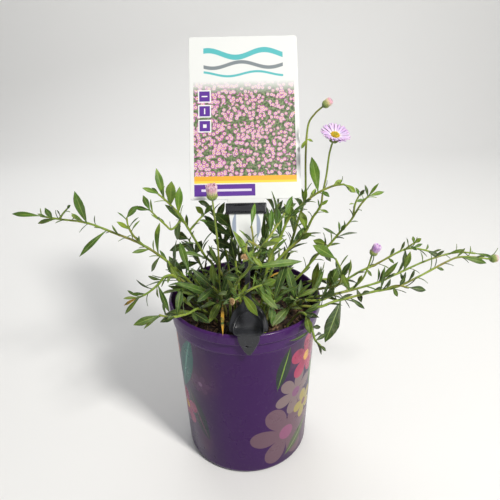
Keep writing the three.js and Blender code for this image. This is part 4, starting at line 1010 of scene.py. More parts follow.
def bract_shells(foot, axis, low, height, high, count, random, finish):
    """Two ranks of narrow bracts that hug a cup from its foot up, tips a little free."""
    shells = []
    for rank, share in enumerate((1.0, 0.72)):
        way = around(axis, turns(count, 0.5 * rank) + random.uniform(-0.08, 0.08, count))
        base = foot + way * (low + 0.15 * rank)
        out = high + 0.25 + 0.2 * rank + random.uniform(0, 0.25, (count, 1))
        tip = foot + axis * (height * share) + way * out
        bulge = random.uniform(0.35, 0.6, count) * high / 3.6
        shells.append(straps(base, tip, way, np.full(count, 2.2 * np.pi * high / count), 7, bulge, 0.16,
                             bract_shape, random, finish, cup=-0.2))
    return shells


def flower_cup_shells(end, axis, random, finish):
    """The bloom's green cup with its bracts."""
    centre = end + axis * CUP_DEPTH
    profile = rounded([[-6.4, 0.4], [-6.0, 1.2], [-4.8, 2.2], [-2.8, 3.3], [-0.4, 3.6], [-0.35, 0.5]], 0.9)
    return [tubes(bowl(centre, axis, profile, 24), finish, 0.4),
            *bract_shells(centre - axis * 5.0, axis, 2.3, 4.9, 3.8, 22, random, finish)]


def bud_cup_shells(end, axis, head, random, finish):
    """A bud's green cup with its bracts."""
    radius, cup = head["radius"], head["cup"]
    body = rounded([[-0.9, 0.3], [-0.5, 1.0], [0.12 * cup, 0.62 * radius], [0.55 * cup, 0.92 * radius],
                    [cup, 0.86 * radius], [cup + 0.1, 0.3]], 0.8)
    foot = end + axis * 0.1 * cup
    return [tubes(bowl(end, axis, body, 24), finish, 0.4),
            *bract_shells(foot, axis, 0.55 * radius, 1.02 * cup, 0.88 * radius, 16, random, finish)]


def bud_petal_shells(end, axis, head, random):
    """A brush of rolled petals in three ranks that stands out of a bud's cup."""
    radius, cup, petals = head["radius"], head["cup"], head["petals"]
    wide = petals > 6
    shells = []
    for rank, (share, inner) in enumerate(((1.0, 0.92), (1.06, 0.66), (0.96, 0.36))):
        count = (26, 18, 10)[rank]
        way = around(axis, turns(count, 0.4 * rank) + random.uniform(-0.1, 0.1, count))
        base = end + axis * (cup * 0.8) + way * (0.8 * radius * inner)
        flare = (1.02 if wide else 0.62) * radius * inner
        top = cup + petals * share * (1 if wide else 1.15) * random.uniform(0.84, 1.0, (count, 1))
        tip = end + axis * top + way * (flare + random.uniform(-0.25, 0.3, (count, 1)))
        shells.append(straps(base, tip, way, random.uniform(1.0, 1.5, count), 10,
                             np.full(count, 0.35 if wide else 0.75), 0.16, ray_shape, random, cup=0.55))
    core = [[cup * 0.7, 0.4], [cup + 0.3, 0.74 * radius], [cup + petals * 0.62, 0.7 * radius],
            [cup + petals * 0.74, 0.2]]
    shells.append(tubes(bowl(end, axis, rounded(core, 0.9), 20), 0, 0.15))
    return shells


DRY_FLORETS = 46


def dried_shells(end, axis, head, random, finish):
    """A withered head: a small cup of shrunken bracts with a tuft of brown florets."""
    radius = head["radius"]
    body = rounded([[-0.9, 0.4], [0.2 * radius, 0.75 * radius], [0.9 * radius, 0.8 * radius],
                    [1.2 * radius, 0.2]], 0.7)
    bracts = bract_shells(end + axis * 0.1 * radius, axis, 0.6 * radius, 1.25 * radius, 0.95 * radius, 11,
                          random, finish)
    way, out = spiral(axis, DRY_FLORETS, 0.75 * radius)
    roots = end + axis * (0.75 * radius) + way * out
    tips = roots + unit(axis + way * 0.3) * random.uniform(0.4, 0.75, (DRY_FLORETS, 1)) * radius
    return [tubes(bowl(end, axis, body, 16, 0.06, 7), finish, 0.4), *bracts,
            spikes(roots, tips, 0.5, finish, 0.8)]


def head_seat(name):
    """The end of the stem of that name, and the way that its head faces."""
    path = next(stem["path"] for stem in STEMS if stem["name"] == name)
    return np.array(path[-1], float), unit(np.array(HEADS[name]["axis"]))


def head_shells(name, random):
    """The green or withered part of what stands at a stem's end."""
    if name not in HEADS:
        return []
    head, seat = HEADS[name], head_seat(name)
    if head["kind"] == "flower":
        return flower_cup_shells(*seat, random, 3)
    if head["kind"] == "bud":
        return bud_cup_shells(*seat, head, random, 3)
    return dried_shells(*seat, head, random, 4)


# Pot, potting mix, card and clip

POT_SIDES = 160


def wall_radius(height):
    """Outside radius of the pot's wall at a height: a straight taper."""
    return BASE_RADIUS + (WALL_TOP_RADIUS - BASE_RADIUS) * height / RIM_FOOT


def pot_shell():
    """The pot's section, out along its underside, up the outside over bead and rim, down the inside and
    in along its floor, with softened corners, turned about the upright axis."""
    flat = BASE_RADIUS - BASE_CORNER
    profile = [
        [1, 0.4], [30, 0.4], [50, 0.4], [flat - 1.4, 0], [flat, 0], [BASE_RADIUS - 1, 1.2],
        [wall_radius(BASE_CORNER), BASE_CORNER], [wall_radius(50), 50], [wall_radius(100), 100],
        [wall_radius(BEAD_FOOT), BEAD_FOOT], [BEAD_RADIUS, BEAD_FOOT + 0.8], [BEAD_RADIUS, RIM_FOOT - 0.4],
        [BEAD_RADIUS + 0.3, RIM_FOOT + 0.3], [RIM_RADIUS, RIM_FOOT + 1.2], [RIM_RADIUS, POT_HEIGHT - 1.4],
        [RIM_RADIUS - 1.3, POT_HEIGHT], [RIM_RADIUS - 2.7, POT_HEIGHT - 0.2],
        [wall_radius(RIM_FOOT) - WALL, RIM_FOOT - 1], [wall_radius(80) - WALL, 80],
        [wall_radius(BASE_CORNER) - WALL, BASE_CORNER + 1], [flat, FLOOR], [1, FLOOR],
    ]
    return tubes(turned(rounded(profile, 0.9), POT_SIDES))


def drain_cutters():
    """A round bar through the floor for each drain hole."""
    turn = turns(DRAIN_HOLES, 0.5)
    x, y = DRAIN_CIRCLE * np.cos(turn), DRAIN_CIRCLE * np.sin(turn)
    heights = np.array([-2, FLOOR + 2])
    centre = np.stack(np.broadcast_arrays(x[:, None], y[:, None], heights), -1)
    return round_bars(centre, UP, DRAIN_RADIUS, 24)


def round_bars(ends, heading, radius, sides):
    """Straight round bars, one for each pair of ends."""
    headings, radii = np.broadcast_to(heading, ends.shape), np.full(ends.shape[:2], radius)
    return tubes(ring_round(ends, headings, radii, sides))


def cut_with(piece, shells):
    """Cuts closed shells out of a piece for good, joins its own shells into one, and leaves no modifier."""
    cutter = build("cutter", shells, [])
    cut = piece.modifiers.new("cut", "BOOLEAN")
    cut.operation = "DIFFERENCE"
    cut.solver = "EXACT"
    cut.use_self = True
    cut.object = cutter
    ready = piece.evaluated_get(bpy.context.evaluated_depsgraph_get())
    mesh = bpy.data.meshes.new_from_object(ready)
    piece.modifiers.clear()
    piece.data = mesh
    bpy.data.objects.remove(cutter)


SOIL_SIDES = 200
SOIL_RINGS = 80
SOIL_GAP = 0.5
SOIL_BELOW = 1.3
SOIL_LUMPS = (9.0, 3, 1.3)
BARK_CHIPS = 420
CHIP_GIRTH = np.array([0.45, 0.85, 1.0, 0.95, 0.8, 0.4])
CHIP_SIDES = 8


def lumps(points, size, seed, height):
    """Lumps of that size and height on the mix: smooth noise."""
    return noise(points, size, seed) * height


def soil_shell():
    """The mix as a lathed body with a lumpy top: a polar grid whose height is two sizes of noise, fading
    to nothing at the wall."""
    edge = wall_radius(SOIL_TOP) - WALL - SOIL_GAP
    low = [[1, FLOOR + 0.4], [BASE_RADIUS - BASE_CORNER - 1, FLOOR + 0.4],
           [wall_radius(BASE_CORNER) - WALL - SOIL_GAP, BASE_CORNER + 2], [edge, SOIL_TOP - 6]]
    reach = np.linspace(1, 0.01, SOIL_RINGS)
    top = np.stack([edge * reach, np.full(SOIL_RINGS, SOIL_TOP - SOIL_BELOW)], -1)
    rings = turned(np.concatenate([low, top]), SOIL_SIDES)
    inner = rings[:, len(low):]
    rough = lumps(inner, *SOIL_LUMPS) + lumps(inner, 3.4, 4, 0.9) + lumps(inner, 1.5, 5, 0.45)
    inner[..., 2] += rough * smooth((1 - reach[:, None]) * 18)
    return tubes(rings)


def bark_shells(random, count):
    """Bark chips: flat rounded slivers at every turn and tilt, in rings along their length, half sunk."""
    turn = random.uniform(0, 2 * np.pi, count)
    out = (wall_radius(SOIL_TOP) - WALL - 7) * np.sqrt(random.random(count))
    level = np.full(count, SOIL_TOP - SOIL_BELOW + 0.5)
    seat = np.stack([out * np.cos(turn), out * np.sin(turn), level], -1)
    seat[:, 2] += lumps(seat, *SOIL_LUMPS) + random.uniform(-0.4, 0.7, count)
    length = random.uniform(2.2, 9.0, count) * random.uniform(0.6, 1, count)
    width = length * random.uniform(0.28, 0.6, count)
    thick = random.uniform(0.5, 1.4, count)
    spin = random.uniform(0, 2 * np.pi, count)
    tilt = random.uniform(-0.45, 0.45, count)
    way = np.stack([np.cos(spin) * np.cos(tilt), np.sin(spin) * np.cos(tilt), np.sin(tilt)], -1)
    side = unit(np.cross(way, UP + random.uniform(-0.4, 0.4, (count, 3))))
    up = np.cross(side, way)
    rows = len(CHIP_GIRTH)
    angle = turns(CHIP_SIDES)
    girth = random.uniform(0.7, 1.15, (count, rows, CHIP_SIDES)) * CHIP_GIRTH[:, None]
    reach = (np.linspace(-0.5, 0.5, rows) * length[:, None])[..., None] + 0 * girth
    wide = np.cos(angle) * girth * width[:, None, None] / 2
    deep = np.sin(angle) * girth * thick[:, None, None]
    rings = seat[:, None, None] + sum(axis[:, None, None] * part[..., None]
                                      for axis, part in ((way, reach), (side, wide), (up, deep)))
    return tubes(rings, 1, random.random(count))


# Flat mouldings: outlines in a plane, symmetric left and right, given as their right half from the middle
# of the bottom to the middle of the top

RIGHT = np.array([1.0, 0.0, 0.0])
LEAN_OUT = np.array([0.0, -np.cos(CARD_LEAN), np.sin(CARD_LEAN)])
LEAN_X = RIGHT * np.cos(CARD_TURN) + np.cross(LEAN_OUT, RIGHT) * np.sin(CARD_TURN)
LEAN_Y = np.cross(LEAN_OUT, LEAN_X)
UPRIGHT = {"place": RIGHT * CARD_FOOT[0], "x": RIGHT, "y": UP, "out": np.array([0.0, -1.0, 0.0])}


def whole_outline(points, corner, count, even=False):
    """Ring from an outline's right half and its mirror image, starting at the middle of the bottom. Its
    corners are rounded, and each half has count points evenly along it, with its own unless even."""
    line = rounded(points, corner, 9 if even else 7)
    steps = lengths_along(line)
    at = np.linspace(0, steps[-1], count)
    if not even:
        at = np.unique(np.concatenate([at, steps]))
        at = at[np.diff(at, prepend=-1) > 1e-6]
    half = np.stack([np.interp(at, steps, line[:, 0]), np.interp(at, steps, line[:, 1])], -1)
    return np.concatenate([half, half[-2:0:-1] * [-1, 1]])


def inset(ring, by):
    """A ring moved inwards, each point square to the line between its two neighbours."""
    along = unit(np.roll(ring, -1, 0) - np.roll(ring, 1, 0))
    return ring + np.stack([-along[:, 1], along[:, 0]], -1) * by


def moulded(rows, place=CARD_FOOT, x=LEAN_X, y=LEAN_Y, out=LEAN_OUT, finish=0):
    """A closed moulding from rows of (ring, height out of the plane), with its UV map in the plane."""
    rings = [place + x * ring[:, :1] + y * ring[:, 1:] + out * height for ring, height in rows]
    shell = tubes(np.stack(rings)[None], finish)
    flat = (shell["points"] - place) @ np.stack([x, y], -1)
    shell["quad_uv"] = flat[shell["quads"].ravel()]
    shell["triangle_uv"] = flat[shell["triangles"].ravel()]
    return shell


SOFT_EDGE = [(2.5, 0.0), (1.0, 0.0), (0.29, 0.29), (0.0, 1.0)]


def slab(ring, back, front, edge, **placing):
    """A flat moulding between two heights, with softened edges at back and front: each row of SOFT_EDGE is
    (inwards, along), in units of edge."""
    rows = [(inset(ring, edge * near), back + edge * far) for near, far in SOFT_EDGE]
    rows += [(inset(ring, edge * near), front - edge * far) for near, far in reversed(SOFT_EDGE)]
    shell = moulded(rows, **placing)
    shell["tone"] = np.repeat(np.arange(len(rows)) >= len(rows) / 2, len(ring)).astype(float)
    return shell


def box_ring(half_x, low, high, corner, count=24):
    """Ring of a rounded rectangle."""
    return whole_outline([[0, low], [half_x, low], [half_x, high], [0, high]], corner, count)


def card_shells():
    """Printed card: a thin plate with rounded corners, and its tongue that goes down through the bar."""
    plate = box_ring(CARD_WIDTH / 2, CARD_BOTTOM, CARD_BOTTOM + CARD_HEIGHT, CARD_CORNER, 60)
    tongue = [[0, TONGUE[0][1]], *TONGUE, [TONGUE_HALF, CARD_BOTTOM], [TONGUE_HALF, CARD_BOTTOM + 3],
              [0, CARD_BOTTOM + 3]]
    front = CARD_BACK + CARD_THICKNESS
    return [
        slab(plate, CARD_BACK, front, 0.18),
        slab(whole_outline(tongue, 1.5, 40), CARD_BACK + 0.05, front - 0.05, 0.18, finish=1),
    ]


# Hood of the clip: a scoop that comes forward over the rim. Each station is (up the lean, outer half width,
# inner half width, back, floor, lip), and the skirt behind it is a half outline.
HOOD = np.array([
    [18.2, 2.4, 1.4, -1, -0.3, 0.4],
    [16.8, 5, 4, -1, -0.3, 1.8],
    [14.5, 8.2, 7.1, -1, -0.4, 2.7],
    [12, 10.2, 9.1, -1, -0.6, 3.2],
    [8.6, 11.7, 10.6, -1, -0.6, 4],
    [5, 12.7, 11.6, -1, 0, 5.2],
    [2.8, 12.8, 11.7, -1, 2.2, 6.2],
    [1, 12.4, 11.3, 1.2, 5, 7.2],
    [-0.1, 11.5, 10.4, 3.4, 7.2, 7.8],
    [-1.3, 9.8, 8.7, 5.4, 7.8, 7.8],
])
SKIRT = [[0, 0.8], [15.2, 0.8], [16.2, 3], [16.3, 6], [15.8, 9], [14.3, 14], [12.6, 18], [10.2, 20.5],
         [6.3, 24], [3.2, 28.4], [2.3, 33], [0, 33]]
TAB = [[0, 148.3], [1.3, 148.3], [3.3, 151], [4.7, 153.5], [6, 156], [7.2, 158.5], [8.3, 161], [8.9, 163.6],
       [8.9, 168.6], [0, 168.6]]
SADDLE = (8.9, POT_HEIGHT + 0.4, 168.6)
# Rows of the skirt's moulding, from its back to its front: (inset, height)
SKIRT_ROWS = ((2.0, -3.0), (0.5, -3.0), (0, -2.5), (0, -1.9), (0.6, -1.2), (1.8, -0.7), (2.6, -0.6))
HOLE_ASIDE = -1.9
HOLE_HEIGHT = 157
HOLE_RADIUS = 0.9
HOOD_ROWS = 60
HOOD_FILLET = 1.6


def hood_shell():
    """The scoop: its stations are joined by a smooth curve, and each becomes a ring round the section,
    out over the left lip, across the floor, over the right lip and back underneath."""
    at = np.linspace(0, len(HOOD) - 1, HOOD_ROWS)
    y, outer, inner, back, floor, lip = point_on(HOOD, at).T[..., None]
    turn = np.linspace(0, np.pi, 7)
    half = (outer - inner) / 2
    lip_x = (outer + inner) / 2 + half * np.cos(turn)
    lip_n = lip - half * (1 - np.sin(turn))
    fillet = np.linspace(0, np.pi / 2, 5)
    depth = np.minimum(HOOD_FILLET, np.maximum(lip - floor, 0.02) * 0.8)
    fillet_x = inner - depth * (1 - np.cos(fillet))
    fillet_n = floor + depth * (1 - np.sin(fillet))
    x = np.concatenate([outer, lip_x, fillet_x, inner * 0.5], 1)
    n = np.concatenate([back, lip_n, fillet_n, floor], 1)
    n[:, 1:] = np.maximum(n[:, 1:], back + 0.1)
    ring_x = np.concatenate([x, 0 * y, -x[:, ::-1], 0 * y], 1)
    ring_n = np.concatenate([n, floor, n[:, ::-1], back], 1)
    ways = LEAN_X * ring_x[..., None] + LEAN_Y * y[..., None] + LEAN_OUT * ring_n[..., None]
    return tubes((CARD_FOOT + ways)[None])


def clip_shells():
    """The clip: skirt with its hood, stalk, slotted bar, tab, saddle and inner leg."""
    skirt = whole_outline(SKIRT, 2.4, 70, even=True)
    return [
        moulded([(inset(skirt, by), height) for by, height in SKIRT_ROWS]),
        hood_shell(),
        slab(box_ring(STALK_HALF, 18, BAR_HIGH - 1, 0.6), -2.4, 0.0, 0.5),
        slab(whole_outline(TAB, 1.6, 60), -TAB_BACK, -TAB_FRONT, 0.5, **UPRIGHT),
        slab(box_ring(*SADDLE, 0.8), 62.4, -TAB_FRONT - 0.1, 0.6, **UPRIGHT),
        slab(box_ring(6, 157.5, 168.5, 1.0), 61.6, 63.9, 0.5, **UPRIGHT),
        slab(box_ring(BAR_HALF, BAR_LOW, BAR_HIGH, 1.0), -2.4, 3.2, 0.7),
    ]


def clip_cutters():
    """The bar's slot for the tongue, from below to above, and the small hole near the tab's tip."""
    ring = box_ring(TONGUE_HALF + 0.4, BAR_LOW - 2, BAR_HIGH + 2, 0.05, 12)
    slot = moulded([(ring, 0.0), (ring, CARD_BACK + CARD_THICKNESS + 0.35)])
    ends = [[CARD_FOOT[0] + HOLE_ASIDE, y, HOLE_HEIGHT] for y in (TAB_FRONT - 1, TAB_BACK + 1.5)]
    return [slot, round_bars(np.array([ends]), [0.0, 1, 0], HOLE_RADIUS, 20)]


# Materials

def plug(tree, socket, value):
    """Sets a socket to a value, or links it to an output, or to a node's first output in use."""
    if isinstance(value, bpy.types.Node):
        value = next(output for output in value.outputs if output.enabled)
    if isinstance(value, bpy.types.NodeSocket):
        tree.links.new(value, socket)
    else:
        socket.default_value = value


def add_node(tree, kind, inputs=(), ramp=(), **settings):
    """Adds one shader node. A kind such as "Math POWER" names the node and what it works out, and settings
    are its other properties. Inputs are its values and links, in the order of its sockets or by their names
    or numbers: a MapRange takes the value, the span it comes from and the span it goes to. Ramp holds a
    colour ramp's stops from 0 to 1."""
    kind, _, choice = kind.partition(" ")
    made = tree.nodes.new("ShaderNode" + kind)
    if choice:
        setattr(made, "data_type" if kind == "Mix" else "operation", choice)
    for name, value in settings.items():
        setattr(made, name, value)
    for name, value in inputs.items() if isinstance(inputs, dict) else enumerate(inputs):
        plug(tree, made.inputs[name], value)
    for place, code in ramp[1:-1]:
        made.color_ramp.elements.new(place)
    for stop, (place, code) in zip(made.color_ramp.elements if ramp else (), ramp):
        stop.position = place
        stop.color = paint(code)
    return made


def start(name, **constants):
    """A material whose shader has these constant values on its own sockets, where Base_Color names Base
    Color, and add_node bound to its tree, which each material below calls add."""
    material = bpy.data.materials.new(name)
    material.use_nodes = True
    shader = material.node_tree.nodes["Principled BSDF"]
    for socket, value in constants.items():
        shader.inputs[socket.replace("_", " ")].default_value = value
    return material, functools.partial(add_node, material.node_tree)


def finish_with(material, colour, roughness=None, height=None, strength=0.3, depth_mm=0.2):
    """Links a colour and, where given, a roughness and a height in units of depth_mm to the shader."""
    tree = material.node_tree
    shader = tree.nodes["Principled BSDF"]
    plug(tree, shader.inputs["Base Color"], colour)
    if roughness:
        plug(tree, shader.inputs["Roughness"], roughness)
    if height:
        bump = add_node(tree, "Bump", {"Height": height, "Strength": strength, "Distance": depth_mm * MM})
        plug(tree, shader.inputs["Normal"], bump)
    return material


def grain(add, size_mm, detail, stretch=(1, 1, 1)):
    """Noise on Object coordinates whose blobs are about that size."""
    place = add("TexCoord").outputs["Object"]
    scaled = add("Mapping", {"Vector": place, "Scale": stretch})
    return add("TexNoise", {"Vector": scaled, "Scale": 1 / (size_mm * MM), "Detail": detail})


def blade_coordinates(add):
    """Of the UV map round a blade: how far from its middle line, from 0 to 1, how far along it, and how far
    round it, which is over 1 on its underside."""
    way_round, along, _ = add("SeparateXYZ", [add("UVMap", uv_map="surface")]).outputs
    centred = add("Math SUBTRACT", (add("Math FRACT", [way_round]), 0.5))
    aside = add("Math MULTIPLY", (add("Math ABSOLUTE", [centred]), 2.0))
    return aside, along, way_round


def leaf_blade(green):
    """Leaf of a seaside daisy: fleshy, under very short hairs. The eye gets a soft grey sheen, from the
    shader and partly painted as grey blotches together with dust, a paler grooved midrib with faint side
    veins, young leaves yellower than old ones, a paler underside, and painted shade low in the plant with
    painted light on its highest leaves."""
    material, add = start("fleshy_leaf_blade", IOR=1.42, Sheen_Weight=0.1, Sheen_Roughness=0.45,
                          Subsurface_Weight=0.06, Subsurface_Scale=0.002)
    aside, along, way_round = blade_coordinates(add)
    below = add("Math GREATER_THAN", (way_round, 1.0))
    tone = add("Attribute", attribute_name="tone").outputs["Fac"]
    patch = add("MapRange", (grain(add, 14, 2), 0.3, 0.7, -0.22, 0.22))
    age = add("Math ADD", (tone, patch))
    yellowing = add("MapRange", (age, 0.45, 1, 0.515, 0.465))
    height = add("SeparateXYZ", [add("TexCoord").outputs["Object"]]).outputs["Z"]
    # Painted shade and light: by height, leaves darker low in the plant and lighter near its top.
    shaded = add("MapRange", (height, 150 * MM, 260 * MM, 0.36, 1.2))
    lightness = add("Math MULTIPLY", (add("MapRange", (age, 0, 1, 0.12, 1.4)), shaded))
    base = add("HueSaturation", {"Hue": yellowing, "Value": lightness, "Color": green})
    mottled = add("Mix RGBA", {0: grain(add, 1.1, 4), 6: (0.6, 0.62, 0.58, 1), 7: (1.25, 1.24, 1.1, 1)})
    colour = add("Mix RGBA", {0: 1.0, 6: base, 7: mottled}, blend_type="MULTIPLY")
    taper = add("MapRange", (along, 0, 1, 0.16, 0.05))
    rib = add("MapRange", (aside, 0.02, taper, 0.6, 0), interpolation_type="SMOOTHSTEP")
    rows = add("Math MULTIPLY", (along, 8.0))
    line = add("Math PINGPONG", (add("Math MULTIPLY_ADD", (aside, -1.5, rows)), 0.5))
    vein = add("MapRange", (line, 0, 0.12, 0.22, 0))
    pale = add("Math MULTIPLY", (below, 0.4))
    # Dust and painted sheen: grey blotches that stand for dust and for part of the hairs' grey sheen.
    dust = add("MapRange", (grain(add, 5, 3), 0.5, 0.75, 0, 0.14))
    spots = add("MapRange", (grain(add, 7, 3), 0.35, 0.5, 0, 1))
    dying = add("Attribute", attribute_name="wither").outputs["Fac"]
    old = add("Math MULTIPLY", (dying, spots))
    layers = ((rib, "97ad57"), (vein, "84994f"), (pale, "748c58"), (dust, "a3ad93"), (old, "c99a2e"))
    for share, code in layers:
        colour = add("Mix RGBA", {0: share, 6: colour, 7: paint(code)})
    shine = add("MapRange", (grain(add, 3, 3), 0, 1, 0.4, 0.64))
    relief = add("Math MULTIPLY_ADD", (vein, 0.8, grain(add, 0.5, 2)))
    return finish_with(material, colour, shine, relief, 0.35, 0.12)


def stem_skin():
    """Green bark of a soft stem: ribbed lengthwise, yellow-green, flushed red-brown in patches."""
    material, add = start("ribbed_green_stem", Roughness=0.5, IOR=1.42, Sheen_Weight=0.15,
                          Subsurface_Weight=0.05, Subsurface_Scale=0.002)
    way_round = add("SeparateXYZ", [add("UVMap", uv_map="surface")])
    ribs = add("Math PINGPONG", (add("Math MULTIPLY", (way_round, 7.0)), 0.5))
    colour = add("ValToRGB", [grain(add, 12, 3)],
                 [(0, "57701f"), (0.45, "7d9430"), (0.7, "98a940"), (1, "b0b552")])
    flushed = add("MapRange", (grain(add, 26, 2), 0.5, 0.72, 0, 0.55))
    groove = add("MapRange", (ribs, 0, 0.2, 0.3, 0))
    for share, code in ((flushed, "7c4f2c"), (groove, "465a1e")):
        colour = add("Mix RGBA", {0: share, 6: colour, 7: paint(code)})
    return finish_with(material, colour, None, ribs, 0.4, 0.25)


def plant_hair():
    """Stiff plant hairs: nearly clear cells, which the eye reads as a pale fringe."""
    material, add = start("pale_plant_hair", Roughness=0.45, IOR=1.45, Subsurface_Weight=0.1,
                          Subsurface_Scale=0.001)
    return finish_with(material, add("ValToRGB", [grain(add, 6, 1)], [(0, "c8d3a6"), (1, "eef2dc")]))


def bract_skin():
    """Bracts of a flower head: narrow and green with a darker middle, pale edges and a dusky tip."""
    material, add = start("green_bract", Roughness=0.55, IOR=1.42, Sheen_Weight=0.3, Sheen_Roughness=0.5)
    aside, along, _ = blade_coordinates(add)
    green = add("ValToRGB", [along],
                [(0, "50682a"), (0.4, "6b8734"), (0.75, "8ea14a"), (0.9, "a99a58"), (1, "8a5a4c")])
    edge = add("MapRange", (aside, 0.35, 0.95, 0, 0.4))
    colour = add("Mix RGBA", {0: edge, 6: green, 7: paint("b3c07c")})
    speck = add("Mix RGBA", {0: grain(add, 0.8, 3), 6: (0.7, 0.7, 0.7, 1), 7: (1.2, 1.2, 1.15, 1)})
    colour = add("Mix RGBA", {0: 1.0, 6: colour, 7: speck}, blend_type="MULTIPLY")
    return finish_with(material, colour, None, grain(add, 0.5, 2), 0.3, 0.1)


def withered_head():
    """Dry bracts and florets: papery and tan, darker in the creases."""
    material, add = start("dry_papery_head", Roughness=0.8, Sheen_Weight=0.2)
    tone = add("Attribute", attribute_name="tone").outputs["Fac"]
    rough = grain(add, 1.2, 4)
    colour = add("ValToRGB", [add("Math MULTIPLY_ADD", (tone, 0.5, rough))],
                 [(0, "4d3620"), (0.4, "7d5f3a"), (0.7, "ab8656"), (1, "d3b584")])
    return finish_with(material, colour, None, rough, 0.4, 0.2)


def ray_petal(lilac):
    """Ray petal: a thin satin strap, white at its foot, lilac further out, with fine lengthwise veins."""
    material, add = start("satin_ray_petal", Roughness=0.5, IOR=1.4, Sheen_Weight=0.25,
                          Subsurface_Weight=0.12, Subsurface_Scale=0.002)
    aside, along, way_round = blade_coordinates(add)
    below = add("Math GREATER_THAN", (way_round, 1.0))
    tone = add("Attribute", attribute_name="tone").outputs["Fac"]
    reach = add("MapRange", (along, 0.12, 0.5, 0, 1), interpolation_type="SMOOTHSTEP")
    colour = add("Mix RGBA", {0: reach, 6: paint("f6f1f6"), 7: lilac})
    fade = add("MapRange", (tone, 0, 1, 0, 0.45))
    lines = add("Math PINGPONG", (add("Math MULTIPLY", (aside, 2.2)), 0.5))
    vein = add("MapRange", (lines, 0, 0.16, 0.35, 0))
    back = add("Math MULTIPLY", (below, 0.5))
    edge = add("MapRange", (aside, 0.72, 1, 0, 0.65))
    for share, code in ((fade, "f2e8f4"), (vein, "a887bd"), (back, "c6a3cf"), (edge, "75598c")):
        colour = add("Mix RGBA", {0: share, 6: colour, 7: paint(code)})
    return finish_with(material, colour, None, lines, 0.3, 0.1)


def disc_floret(yellow):
    """Disc floret: a mealy tube, green-yellow while shut in the middle and golden where open."""
    material, add = start("mealy_disc_floret", Roughness=0.65, Sheen_Weight=0.2, Subsurface_Weight=0.1,
                          Subsurface_Scale=0.001)
    tone = add("Attribute", attribute_name="tone").outputs["Fac"]
    opened = add("MapRange", (tone, 0.2, 0.6, 0, 1))
    colour = add("Mix RGBA", {0: opened, 6: paint("b0ab22"), 7: yellow})
    grains = add("ValToRGB", [grain(add, 0.6, 3)], [(0, "d6cab4"), (0.6, "faf7ee"), (1, "ffffff")])
    colour = add("Mix RGBA", {0: 1.0, 6: colour, 7: grains}, blend_type="MULTIPLY")
    return finish_with(material, colour, None, grain(add, 0.3, 2), 0.4, 0.1)


BUD_COLOURS = {
    "tall_bud": [(0, "c9cf8e"), (0.3, "ecdfa4"), (0.45, "e8b3ae"), (0.7, "dd8fb0"), (0.88, "eccddc"),
                 (1, "b0647f")],
    "top_bud": [(0, "c3cc6c"), (0.35, "e6d675"), (0.55, "dfae8c"), (0.8, "cf8399"), (0.93, "dea0b4"),
                (1, "94566c")],
    "right_low": [(0, "b5bd78"), (0.4, "cdbf96"), (0.7, "cf94a6"), (1, "d9aab8")],
    "purple_bud": [(0, "c4bfae"), (0.3, "c894cf"), (0.65, "b567cc"), (0.9, "cf9be0"), (1, "e3c8ea")],
}


def bud_petal(name):
    """Rolled petal of a bud: satin, cream-green in the cup and pink or purple towards the tip, in
    streaks."""
    material, add = start("rolled_petal_" + name, Roughness=0.5, IOR=1.4, Sheen_Weight=0.2,
                          Subsurface_Weight=0.1, Subsurface_Scale=0.002)
    aside, along, _ = blade_coordinates(add)
    tone = add("Attribute", attribute_name="tone").outputs["Fac"]
    place = add("Math ADD", (along, add("MapRange", (tone, 0, 1, -0.09, 0.09))))
    colour = add("ValToRGB", [place], BUD_COLOURS[name])
    streak = add("MapRange", (aside, 0.2, 0.9, 0, 0.5))
    colour = add("Mix RGBA", {0: streak, 6: colour, 7: paint("f7ecf1")})
    return finish_with(material, colour, None, aside, 0.3, 0.15)


def composted_bark():
    """Composted bark: damp dark crumbs with paler splinters, so nearly black in the hollows."""
    material, add = start("composted_bark", Roughness=0.9)
    colour = add("ValToRGB", [grain(add, 3.2, 6)],
                 [(0, "120c08"), (0.42, "241811"), (0.6, "3d2a1c"), (0.74, "5a4230"), (1, "7a6048")])
    place = add("TexCoord").outputs["Object"]
    crumbs = add("TexVoronoi", {"Vector": place, "Scale": 1 / (2.4 * MM)})
    return finish_with(material, colour, None, crumbs, 0.9, 0.9)


def bark_chip():
    """Pine bark chip: dry and ridged along its grain, from dark brown to grey tan."""
    material, add = start("pine_bark_chip", Roughness=0.85)
    tone = add("Attribute", attribute_name="tone").outputs["Fac"]
    ridges = grain(add, 1.4, 5, (1, 1, 3))
    mixed = add("Math ADD", (add("Math MULTIPLY", (tone, 0.6)), ridges))
    colour = add("ValToRGB", [mixed], [(0, "1a120c"), (0.5, "3a281b"), (0.8, "5e4431"), (1, "8a6d50")])
    return finish_with(material, colour, None, ridges, 0.8, 0.5)


def textured_abs(black):
    """Black ABS moulding with a fine spark-eroded texture: dull, with a soft gleam and pale dust specks."""
    material, add = start("textured_black_abs", IOR=1.54, Specular_IOR_Level=0.35)
    specks = add("MapRange", (grain(add, 1.0, 3), 0.6, 0.72, 0, 0.5))
    colour = add("Mix RGBA", {0: specks, 6: black, 7: paint("585b60")})
    worn = add("MapRange", (grain(add, 9, 3), 0, 1, 0.24, 0.4))
    return finish_with(material, colour, worn, grain(add, 0.35, 2), 0.2, 0.05)


